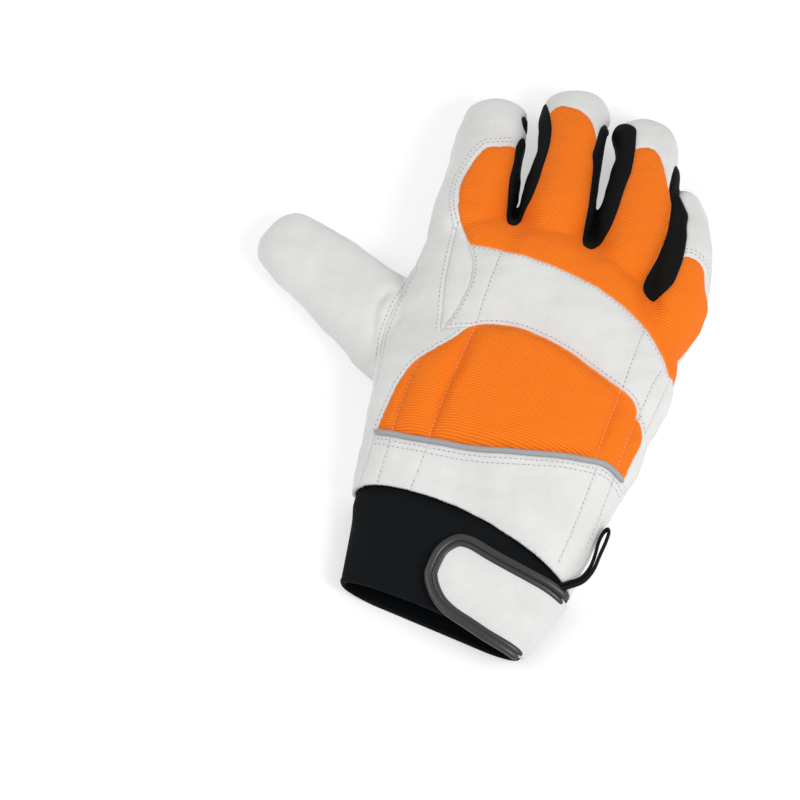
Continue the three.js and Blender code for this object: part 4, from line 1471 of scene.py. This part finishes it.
@dataclass
class HangLoop:
    """A short loop of doubled tape sewn in at the hem, with its eye at the far end.

    Attributes:
        tape: width of the tape.
        thick: its thickness.
        level: height of its middle.
        eye: how far the two halves part at the eye.
    """

    tape: float = 3.4
    thick: float = 1.6
    level: float = 20.0
    eye: float = 0.6

    def build(self) -> bpy.types.Object:
        """The tape along both sides of the loop.

        Returns:
            The loop as one closed body.
        """
        line = resample(smooth_line(LOOP_LINE), 0.8)
        share = np.linspace(0, 1, len(line))
        apart = 0.56 * self.thick + self.eye * np.exp(-(((share - 0.84) / 0.14) ** 2))
        apart[-2:] *= (0.8, 0.45)
        ahead = np.gradient(line, axis=0)
        ahead /= np.linalg.norm(ahead, axis=1, keepdims=True)
        aside = np.column_stack([-ahead[:, 1], ahead[:, 0]]) * apart[:, None]
        tip = line[-1] + ahead[-1] * 0.9
        plan = np.vstack([line + aside, tip, (line - aside)[::-1]])
        path = even(np.column_stack([plan, np.full(len(plan), self.level)]), 2)
        up = np.tile([0.0, 0.0, 1.0], (len(path), 1))
        points, faces = sweep(path, up, round_profile(self.thick, self.tape, 12), False)
        return new_object("hang_loop_looks", to_row(points), faces)


# Stitches


@dataclass(frozen=True)
class Thread:
    """A kind of sewing.

    Attributes:
        pitch: from one stitch to the next.
        length: the length of a stitch that shows.
        thick: the thread's thickness.
        holes: whether painted shade specks mark the needle holes.
    """

    pitch: float
    length: float
    thick: float
    holes: bool


LEATHER_THREAD = Thread(2.3, 1.75, 0.48, True)
FABRIC_THREAD = Thread(2.2, 1.6, 0.42, False)

# Length, width and height of the painted shade speck at a needle hole.
HOLE_SIZE = (0.6, 0.45, 0.14)

# How far from its seam a row of stitches lies, in the leather, below the piping and above the
# knuckle fabric.
SEAM_MARGIN = 1.6
PIPING_MARGINS = (4.2, 6.4)
FABRIC_MARGINS = (2.2, 4.0)


def capsule_group() -> bpy.types.NodeTree:
    """Geometry nodes that set one stitch on each point.

    Returns:
        The node group, with inputs for the stitch's length, thickness and finish.
    """
    tree = bpy.data.node_groups.new("stitches", "GeometryNodeTree")
    face = tree.interface
    face.new_socket("Geometry", in_out="INPUT", socket_type="NodeSocketGeometry")
    for name, value in (("Length", 0.0016), ("Thickness", 0.0005), ("Height", 0.0005)):
        face.new_socket(name, in_out="INPUT", socket_type="NodeSocketFloat").default_value = value
    face.new_socket("Finish", in_out="INPUT", socket_type="NodeSocketMaterial")
    face.new_socket("Geometry", in_out="OUTPUT", socket_type="NodeSocketGeometry")
    node, link = tree.nodes.new, tree.links.new
    start, end = node("NodeGroupInput"), node("NodeGroupOutput")
    turned = None
    for name, axis, pivot in (("along", "X", "AUTO"), ("up", "Z", "X")):
        read = node("GeometryNodeInputNamedAttribute")
        read.data_type = "FLOAT_VECTOR"
        read.inputs["Name"].default_value = name
        turn = node("FunctionNodeAlignRotationToVector")
        turn.axis, turn.pivot_axis = axis, pivot
        link(read.outputs["Attribute"], turn.inputs["Vector"])
        if turned is not None:
            link(turned.outputs["Rotation"], turn.inputs["Rotation"])
        turned = turn
    ball = node("GeometryNodeMeshUVSphere")
    ball.inputs["Segments"].default_value = 8
    ball.inputs["Rings"].default_value = 7
    ball.inputs["Radius"].default_value = 0.5
    size = node("ShaderNodeCombineXYZ")
    for axis, name in (("X", "Length"), ("Y", "Thickness"), ("Z", "Height")):
        link(start.outputs[name], size.inputs[axis])
    place = node("GeometryNodeInstanceOnPoints")
    link(start.outputs["Geometry"], place.inputs["Points"])
    link(ball.outputs["Mesh"], place.inputs["Instance"])
    link(turned.outputs["Rotation"], place.inputs["Rotation"])
    link(size.outputs["Vector"], place.inputs["Scale"])
    real, smooth = node("GeometryNodeRealizeInstances"), node("GeometryNodeSetShadeSmooth")
    paint = node("GeometryNodeSetMaterial")
    link(place.outputs["Instances"], real.inputs["Geometry"])
    link(real.outputs["Geometry"], smooth.inputs["Geometry"])
    link(smooth.outputs["Geometry"], paint.inputs["Geometry"])
    link(start.outputs["Finish"], paint.inputs["Material"])
    link(paint.outputs["Geometry"], end.inputs["Geometry"])
    return tree


@dataclass
class Sewing:
    """Collects stitches of one kind on one piece and turns them into a mesh.

    Attributes:
        name: name of the resulting object.
        thread: the kind of sewing.
    """

    name: str
    thread: Thread
    points: list[np.ndarray] = field(default_factory=list)
    along: list[np.ndarray] = field(default_factory=list)
    up: list[np.ndarray] = field(default_factory=list)

    def run(self, surface: Surface, plan: np.ndarray, above: float = 0.05) -> None:
        """Sews along a plan line on a surface.

        Args:
            surface: what is sewn.
            plan: the line in plan millimetres.
            above: how far the thread's middle lies over the surface.
        """
        laid, up = surface.lay(resample(plan, 0.4), above)
        if len(laid) < 6:
            return
        laid = even(laid, 2)
        length = np.concatenate([[0], np.cumsum(np.linalg.norm(np.diff(laid, axis=0), axis=1))])
        at = np.arange(self.thread.pitch / 2, length[-1], self.thread.pitch)
        points = np.column_stack([np.interp(at, length, laid[:, k]) for k in range(3)])
        normals = np.column_stack([np.interp(at, length, up[:, k]) for k in range(3)])
        ahead = np.column_stack([np.interp(at + 0.5, length, laid[:, k]) for k in range(3)])
        ahead -= np.column_stack([np.interp(at - 0.5, length, laid[:, k]) for k in range(3)])
        self.points.append(points)
        self.along.append(ahead)
        self.up.append(normals)

    def build(
        self, thread_finish: bpy.types.Material, hole_finish: bpy.types.Material
    ) -> list[bpy.types.Object]:
        """The stitches and, where they show, painted shade specks at the needle holes.

        Args:
            thread_finish: the thread's material.
            hole_finish: the material of the painted shade specks at the needle holes.

        Returns:
            One or two mesh objects.
        """
        points, along, up = (np.vstack(rows) for rows in (self.points, self.along, self.up))
        unit = along / np.maximum(np.linalg.norm(along, axis=1, keepdims=True), 1e-9)
        size = (self.thread.length, self.thread.thick, self.thread.thick)
        made = [self.scatter(self.name, points, along, up, size, thread_finish)]
        if self.thread.holes:
            # Each needle hole gets a dark speck of painted shade, half a pitch on from its stitch.
            holes = points + unit * self.thread.pitch / 2 - 0.05 * up
            made.append(self.scatter(self.name + "_holes", holes, along, up, HOLE_SIZE, hole_finish))
        return made

    @staticmethod
    def scatter(
        name: str,
        points: np.ndarray,
        along: np.ndarray,
        up: np.ndarray,
        size: tuple[float, float, float],
        finish: bpy.types.Material,
    ) -> bpy.types.Object:
        """One mesh of equal capsules.

        Args:
            name: the object's name.
            points: their middles, in pattern millimetres.
            along: their length directions.
            up: their upward directions.
            size: length, width and height in millimetres.
            finish: their material.

        Returns:
            The mesh object.
        """
        source = new_object(name + "_points", to_row(points), [])
        for key, rows in (("along", along), ("up", up)):
            values = np.asarray(rows, np.float32).ravel()
            source.data.attributes.new(key, "FLOAT_VECTOR", "POINT").data.foreach_set("vector", values)
        tree = bpy.data.node_groups.get("stitches") or capsule_group()
        nodes = source.modifiers.new("stitches", "NODES")
        nodes.node_group = tree
        sockets = {item.name: item.identifier for item in tree.interface.items_tree if item.in_out == "INPUT"}
        for key, value in zip(("Length", "Thickness", "Height"), size):
            nodes[sockets[key]] = value * MM
        nodes[sockets["Finish"]] = finish
        graph = bpy.context.evaluated_depsgraph_get()
        mesh = bpy.data.meshes.new_from_object(source.evaluated_get(graph))
        mesh.name = name
        bpy.data.objects.remove(source)
        made = bpy.data.objects.new(name, mesh)
        bpy.context.scene.collection.objects.link(made)
        return made


# Finishes


class Shader:
    """A material's node tree, built a node at a time."""

    def __init__(self, name: str) -> None:
        """Makes the material with one Principled shader."""
        self.material = bpy.data.materials.new(name)
        self.material.use_nodes = True
        self.tree = self.material.node_tree
        self.principled = next(n for n in self.tree.nodes if n.type == "BSDF_PRINCIPLED")

    def add(
        self, kind: str, values: dict[str | int, object] | None = None, **settings: object
    ) -> bpy.types.Node:
        """Adds a node.

        Args:
            kind: its type.
            values: what its inputs hold, or the sockets linked to them.
            settings: its own properties.

        Returns:
            The node.
        """
        node = self.tree.nodes.new(kind)
        for key, value in settings.items():
            setattr(node, key, value)
        for key, value in (values or {}).items():
            self.give(node.inputs[key], value)
        return node

    def give(self, socket: bpy.types.NodeSocket, value: object) -> None:
        """Links a socket to an input, or stores a value in it."""
        if isinstance(value, bpy.types.NodeSocket):
            self.tree.links.new(value, socket)
        else:
            socket.default_value = value

    def math(self, operation: str, *values: object) -> bpy.types.NodeSocket:
        """A calculation on one to three values."""
        return self.add("ShaderNodeMath", dict(enumerate(values)), operation=operation).outputs[0]

    def place(self, scale: float | tuple[float, float, float] = 1.0) -> bpy.types.NodeSocket:
        """The object's own coordinates, scaled."""
        own = self.add("ShaderNodeTexCoord").outputs["Object"]
        scale = (scale,) * 3 if isinstance(scale, (int, float)) else scale
        return self.add("ShaderNodeVectorMath", {0: own, 1: scale}, operation="MULTIPLY").outputs[0]

    def noise(self, size: float, detail: float = 2.0, rough: float = 0.5) -> bpy.types.NodeSocket:
        """Noise with spots of about a size, in metres."""
        values = {"Vector": self.place(), "Scale": 1 / size, "Detail": detail, "Roughness": rough}
        return self.add("ShaderNodeTexNoise", values).outputs["Fac"]

    def cells(self, place: bpy.types.NodeSocket, scale: float, feature: str) -> bpy.types.NodeSocket:
        """Distances in a pattern of cells."""
        values = {"Vector": place, "Scale": scale}
        return self.add("ShaderNodeTexVoronoi", values, feature=feature).outputs["Distance"]

    def stored(self, name: str) -> bpy.types.NodeSocket:
        """A number stored on the mesh."""
        return self.add("ShaderNodeAttribute", attribute_name=name).outputs["Fac"]

    def between(self, share: object, low: tuple[float, ...], high: tuple[float, ...]) -> bpy.types.NodeSocket:
        """A colour between two colours."""
        mixer = self.add("ShaderNodeMix", data_type="RGBA")
        self.give(mixer.inputs[0], share)
        self.give(mixer.inputs[6], (*low, 1.0))
        self.give(mixer.inputs[7], (*high, 1.0))
        return mixer.outputs[2]

    def range(
        self, value: object, low: float, high: float, to_low: float = 0.0, to_high: float = 1.0
    ) -> bpy.types.NodeSocket:
        """A value brought from one range to another."""
        values = {"Value": value, "From Min": low, "From Max": high, "To Min": to_low, "To Max": to_high}
        return self.add("ShaderNodeMapRange", values).outputs[0]

    def bump(self, height: object, distance: float, strength: float = 1.0) -> None:
        """Adds relief to the shader's normal, over what it has already."""
        old = self.principled.inputs["Normal"]
        node = self.add("ShaderNodeBump", {"Height": height, "Distance": distance, "Strength": strength})
        if old.is_linked:
            self.give(node.inputs["Normal"], old.links[0].from_socket)
        self.give(old, node.outputs["Normal"])

    def finish(self, **values: object) -> bpy.types.Material:
        """Sets the Principled shader's inputs and returns the material."""
        for key, value in values.items():
            self.give(self.principled.inputs[key.replace("_", " ")], value)
        return self.material


@dataclass(frozen=True)
class Leather:
    """Soft white glove leather with a fine grain and shallow creases."""

    light: Colour = (0.70, 0.70, 0.69)
    dark: Colour = (0.64, 0.64, 0.632)
    roughness: float = 0.6

    def material(self) -> bpy.types.Material:
        """Builds the material."""
        s = Shader("white_leather")
        share = s.range(s.noise(0.03, 4.0, 0.6), 0.35, 0.65)
        drift = s.add("ShaderNodeTexNoise", {"Vector": s.place(), "Scale": 90.0}).outputs["Color"]
        values = {0: s.place(), 1: drift, 2: (0.004,) * 3}
        warped = s.add("ShaderNodeVectorMath", values, operation="MULTIPLY_ADD").outputs[0]
        crease = s.cells(warped, 130.0, "DISTANCE_TO_EDGE")
        grain = s.cells(s.place(), 1100.0, "SMOOTH_F1")
        s.bump(s.noise(0.012, 3.0), 0.0009, 0.6)
        s.bump(s.range(crease, 0.0, 0.12), 0.00012, 0.5)
        s.bump(grain, 0.00006, 0.6)
        colour = s.between(share, self.dark, self.light)
        return s.finish(Base_Color=colour, Roughness=self.roughness, Specular_IOR_Level=0.3)


@dataclass(frozen=True)
class RibbedFabric:
    """Bright orange fabric with fine raised ribs across the hand, painted darker in the grooves between the
    ribs as painted shade.
    """

    light: Colour = (0.93, 0.205, 0.013)
    # dark is the colour that the ribs fall to in their grooves: painted shade.
    dark: Colour = (0.78, 0.15, 0.008)
    worn: Colour = (0.95, 0.5, 0.3)
    pitch: float = 1.15

    def material(self) -> bpy.types.Material:
        """Builds the material."""
        s = Shader("orange_ribbed_fabric")
        wander = s.math("MULTIPLY", s.noise(0.004, 2.0), 0.5)
        turn = s.math("MULTIPLY", s.math("ADD", s.stored("rib"), wander), 2 * math.pi / self.pitch)
        rib = s.math("ADD", s.math("MULTIPLY", s.math("SINE", turn), 0.5), 0.5)
        values = {"Vector": s.place((1500.0, 500.0, 500.0)), "Scale": 1.0}
        weave = s.add("ShaderNodeTexNoise", values).outputs["Fac"]
        s.bump(rib, 0.00024, 0.8)
        s.bump(weave, 0.0002, 0.6)
        edge = s.range(s.stored("seam"), 0.0, 0.5, 0.55, 0.0)
        # The rib wave pulls the colour towards dark in the grooves: painted shade.
        colour = s.between(s.range(rib, 0.1, 0.75), self.dark, self.light)
        mixer = s.add("ShaderNodeMix", data_type="RGBA")
        s.give(mixer.inputs[0], edge)
        s.give(mixer.inputs[6], colour)
        s.give(mixer.inputs[7], (*self.worn, 1.0))
        return s.finish(Base_Color=mixer.outputs[2], Roughness=0.8, Specular_IOR_Level=0.12)


@dataclass(frozen=True)
class PlainFabric:
    """Woven or matt stuff of one colour.

    Attributes:
        name: the material's name.
        colour: its colour.
        roughness: how matt it is.
        weave: size of its texture in metres.
        relief: height of its texture in metres.
        shine: how much of its surface reflection shows.
    """

    name: str
    colour: Colour
    roughness: float = 0.8
    weave: float = 0.0006
    relief: float = 0.00012
    shine: float = 0.12

    def material(self) -> bpy.types.Material:
        """Builds the material."""
        s = Shader(self.name)
        low = tuple(0.6 * c for c in self.colour)
        fine = s.noise(self.weave, 2.0)
        s.bump(fine, self.relief, 0.8)
        colour = s.between(fine, low, self.colour)
        return s.finish(Base_Color=colour, Roughness=self.roughness, Specular_IOR_Level=self.shine)


@dataclass(frozen=True)
class Knit:
    """Black rib knit: columns of small loops along the cuff, painted darker between the loops as painted
    shade.
    """

    colour: Colour = (0.006, 0.0078, 0.0098)
    pitch: float = 1.25
    row: float = 0.95

    def material(self) -> bpy.types.Material:
        """Builds the material."""
        s = Shader("black_knit")
        wale = s.math("MULTIPLY", s.stored("wale"), 2 * math.pi / self.pitch)
        column = s.math("ADD", s.math("MULTIPLY", s.math("COSINE", wale), 0.5), 0.5)
        slant = s.math("ABSOLUTE", s.math("SINE", s.math("MULTIPLY", wale, 0.5)))
        course = s.math("MULTIPLY", s.stored("course"), 2 * math.pi / self.row)
        row = s.math("SINE", s.math("ADD", course, s.math("MULTIPLY", slant, 3.0)))
        loop = s.math("MULTIPLY", column, s.range(row, -1.0, 1.0, 0.5, 1.0))
        s.bump(loop, 0.0003, 0.8)
        s.bump(s.noise(0.0005), 0.00008, 0.6)
        # Between the loops, where the relief sinks, the colour falls to under half: painted shade.
        low = tuple(0.45 * c for c in self.colour)
        return s.finish(Base_Color=s.between(loop, low, self.colour), Roughness=0.85, Specular_IOR_Level=0.12)


FINGER_FABRIC = PlainFabric("black_finger_fabric", (0.0055, 0.006, 0.007))
REFLECTIVE = PlainFabric("grey_reflective", (0.40, 0.41, 0.43), 0.5, 0.0004, 0.00005, 0.4)
CORD = PlainFabric("charcoal_cord", (0.017, 0.0175, 0.0195), 0.42, 0.0008, 0.00006, 0.7)
TAPE = PlainFabric("black_tape", (0.008, 0.008, 0.009))
WHITE_THREAD = PlainFabric("white_thread", (0.82, 0.82, 0.8), 0.6, 0.0003, 0.00003, 0.0)
PALE_THREAD = PlainFabric("pale_orange_thread", (0.92, 0.5, 0.28), 0.6, 0.0003, 0.00003, 0.0)
# The needle holes' dark grey is painted shade in the holes.
PAINTED_HOLE_SHADE = PlainFabric("painted_hole_shade", (0.16, 0.165, 0.175), 0.9, 0.0003, 0.0, 0.0)


@dataclass
class Wardrobe:
    """All finishes by name."""

    leather: bpy.types.Material = field(default_factory=Leather().material)
    orange: bpy.types.Material = field(default_factory=RibbedFabric().material)
    fourchette: bpy.types.Material = field(default_factory=FINGER_FABRIC.material)
    knit: bpy.types.Material = field(default_factory=Knit().material)
    reflective: bpy.types.Material = field(default_factory=REFLECTIVE.material)
    cord: bpy.types.Material = field(default_factory=CORD.material)
    tape: bpy.types.Material = field(default_factory=TAPE.material)
    white_thread: bpy.types.Material = field(default_factory=WHITE_THREAD.material)
    pale_thread: bpy.types.Material = field(default_factory=PALE_THREAD.material)
    # hole: the painted shade of the needle holes.
    hole: bpy.types.Material = field(default_factory=PAINTED_HOLE_SHADE.material)


# The whole glove


# How much the fabric's ribs bow across the hand, per millimetre.
RIB_BOW = 0.00115


@dataclass
class Glove:
    """Builds every piece, gives it its finish and hides the model's parts that it stands for."""

    wardrobe: Wardrobe
    surfaces: dict[Panel, Surface] = field(default_factory=dict)
    count: int = field(default=0, init=False)

    def hand_in(self, piece: bpy.types.Object, finish: bpy.types.Material, slot: str, *nodes: str) -> None:
        """Gives a piece its finish, hides the model's parts that it stands for and hangs it under the root
        body.

        Args:
            piece: the object.
            finish: its material.
            slot: not used.
            nodes: the model's nodes that it stands for.
        """
        if not piece.data.materials:
            piece.data.materials.append(finish)
        if nodes:
            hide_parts(*nodes)
        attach(piece, "root")
        self.count += 1
        log.info("%s: %d faces", piece.name, len(piece.data.polygons))

    def build(self) -> None:
        """Builds the panels, then all that is sewn to them."""
        skin = SkinBuilder().build()
        tailor = Tailor(skin)
        tailor.shape()
        tailor.cut()
        tailor.sew()
        self.panels(tailor)
        self.piping(Surface(skin.points, skin.faces))
        self.cuff()
        self.stitches()

    def panels(self, tailor: Tailor) -> None:
        """The sewn panels."""
        w = self.wardrobe
        looks = {
            Panel.KNUCKLE_FABRIC: (w.orange, "orange_fabric", ("knuckle_fabric",)),
            Panel.KNUCKLE_BAND: (w.leather, "leather", ("knuckle_band",)),
            Panel.BACK_PAD: (w.orange, "orange_fabric", ("back_pad",)),
            Panel.CUFF_LEATHER: (w.leather, "leather", ("cuff_leather",)),
            Panel.INDEX_GUSSET: (w.leather, "leather", ("index_gusset",)),
            Panel.THUMB_LEATHER: (w.leather, "leather", ("thumb_leather",)),
            Panel.PALM_LEATHER: (
                w.leather, "leather",
                ("palm_leather", "index_leather", "middle_leather", "ring_leather", "pinky_leather"),
            ),
        }
        for panel, sewn in tailor.sewn.items():
            finish, slot, nodes = looks.get(panel, (w.fourchette, "fourchette", (panel.value,)))
            made = new_object(panel.value + "_looks", to_row(sewn.points), sewn.faces)
            count = len(sewn.inside)
            points = sewn.points[:count]
            add_value(made.data, "seam", np.tile(sewn.inside, 2))
            add_value(made.data, "rib", np.tile(points[:, 1] + RIB_BOW * points[:, 0] ** 2, 2))
            self.hand_in(made, finish, slot, *nodes)
            self.surfaces[panel] = Surface(points, sewn.outer)

    def piping(self, ground: Surface) -> None:
        """The grey piping between the pad and the cuff leather, laid on the whole skin."""
        line = beside(seam("piping"), -PIPING_DROP)
        line = line[line[:, 0] < PIPING_END]
        laid, up = ground.lay(resample(line, 0.8))
        path = even(laid, 8)
        points, faces = sweep(path, even(up, 10), round_profile(2.7, 2.6, 16, 0.7))
        made = new_object("reflective_piping_looks", to_row(points), faces)
        self.hand_in(made, self.wardrobe.reflective, "reflective", "reflective_piping")

    def cuff(self) -> None:
        """The knit cuff, the strap with its edge, and the hang loop."""
        w = self.wardrobe
        self.hand_in(KnitCuff().build(), w.knit, "knit", "knit_cuff")
        strap = Strap()
        self.hand_in(strap.tongue(), w.leather, "leather", "closure_strap")
        self.hand_in(strap.edge(), w.cord, "dark_piping", "strap_piping")
        self.hand_in(HangLoop().build(), w.tape, "tape", "hang_loop")

    def stitches(self) -> None:
        """The rows of thread beside the seams."""
        w = self.wardrobe
        white = Sewing("leather_stitches", LEATHER_THREAD)
        pale = Sewing("fabric_stitches", FABRIC_THREAD)
        band, pad, cuff, thumb, palm = (
            self.surfaces[panel]
            for panel in (
                Panel.KNUCKLE_BAND, Panel.BACK_PAD, Panel.CUFF_LEATHER, Panel.THUMB_LEATHER,
                Panel.PALM_LEATHER,
            )
        )
        white.run(band, beside(seam("band_upper"), -SEAM_MARGIN))
        white.run(band, beside(seam("band_lower"), SEAM_MARGIN))
        white.run(band, beside(seam("gusset_curve"), SEAM_MARGIN))
        for out in PIPING_MARGINS:
            white.run(cuff, beside(seam("piping"), -out))
        for channel in CHANNELS:
            plan = channel.plan()
            if channel.panel is Panel.BACK_PAD:
                pale.run(pad, plan)
            else:
                white.run(self.surfaces[channel.panel], plan)
        white.run(palm, beside(seam("pad_left"), -SEAM_MARGIN))
        white.run(palm, beside(seam("thumb_seam"), SEAM_MARGIN))
        white.run(thumb, beside(seam("thumb_seam"), -SEAM_MARGIN))
        white.run(palm, beside(seam("gusset_straight"), -SEAM_MARGIN))
        for name, (first, last) in FABRIC_SEWN.items():
            line = finger_line(name, FABRIC_OUTLINES[name][first:last])
            for out in FABRIC_MARGINS:
                white.run(palm, beside(line, -out))
        for sewing, finish, slot in (
            (white, w.white_thread, "leather"),
            (pale, w.pale_thread, "orange_fabric"),
        ):
            for made in sewing.build(finish, w.hole):
                self.hand_in(made, finish, slot)


# Scene


# Each lamp's name, place, size and power.
LAMPS = (
    ("key", (0.95, -0.35, 0.95), 0.7, 9.0),
    ("fill", (-0.8, -0.3, 0.9), 0.9, 4.0),
    ("back", (0.1, 0.9, 0.9), 0.9, 0.8),
)
LAMPS_AIM = (0.0, 0.0, 0.02)


@dataclass
class Studio:
    """The pale floor, the soft lights and the camera.

    Attributes:
        distance: from the aimed point to the camera.
        lens: its focal length in millimetres.
        aim: the point at the middle of the picture.
        turn, rise: the camera's side turn and height in degrees.
        surround: brightness of the surrounding.
        glow: brightness of the floor's own light.
        reach: half the floor's width.
    """

    distance: float = 10.0
    lens: float = 1026.0
    aim: tuple[float, float, float] = (-0.0129, -0.0362, 0.020)
    turn: float = 18.6
    rise: float = 61.4
    surround: float = 0.62
    glow: float = 0.42
    reach: float = 6.0

    def floor(self) -> None:
        """A wide pale floor under the glove."""
        corners = [(x * self.reach, y * self.reach, 0) for x, y in ((-1, -1), (1, -1), (1, 1), (-1, 1))]
        made = new_object("floor", corners, [(0, 1, 2, 3)])
        finish = Shader("pale_floor").finish(
            Base_Color=(0.62, 0.62, 0.62, 1.0),
            Roughness=0.9,
            Specular_IOR_Level=0.0,
            Emission_Color=(1.0, 1.0, 1.0, 1.0),
            Emission_Strength=self.glow,
        )
        made.data.materials.append(finish)

    def lights(self) -> None:
        """A bright even surrounding and three large soft lamps."""
        world = bpy.data.worlds.new("studio")
        world.use_nodes = True
        background = next(n for n in world.node_tree.nodes if n.type == "BACKGROUND")
        background.inputs["Color"].default_value = (1.0, 1.0, 1.0, 1.0)
        background.inputs["Strength"].default_value = self.surround
        bpy.context.scene.world = world
        for name, place, size, power in LAMPS:
            lamp = bpy.data.lights.new(name, "AREA")
            lamp.shape, lamp.size, lamp.energy = "DISK", size, power
            made = bpy.data.objects.new(name, lamp)
            made.location = place
            made.rotation_euler = (Vector(LAMPS_AIM) - Vector(place)).to_track_quat("-Z", "Y").to_euler()
            bpy.context.scene.collection.objects.link(made)

    def camera(self) -> None:
        """The camera from the photo's side."""
        turn, rise = math.radians(self.turn), math.radians(self.rise)
        back = Vector((math.sin(turn) * math.cos(rise), -math.cos(turn) * math.cos(rise), math.sin(rise)))
        lens = bpy.data.cameras.new("camera")
        lens.lens, lens.sensor_width = self.lens, 36
        made = bpy.data.objects.new("camera", lens)
        made.location = Vector(self.aim) + back * self.distance
        made.rotation_euler = (-back).to_track_quat("-Z", "Y").to_euler()
        bpy.context.scene.collection.objects.link(made)
        bpy.context.scene.camera = made


def main() -> None:
    """Builds the glove, the floor, the lights and the camera."""
    logging.basicConfig(level=logging.INFO, format="%(message)s")
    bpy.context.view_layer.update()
    glove = Glove(Wardrobe())
    glove.build()
    studio = Studio()
    studio.floor()
    studio.lights()
    studio.camera()
    bpy.context.scene.view_settings.view_transform = "Standard"
    bpy.context.view_layer.update()


if __name__ == "__main__":
    main()
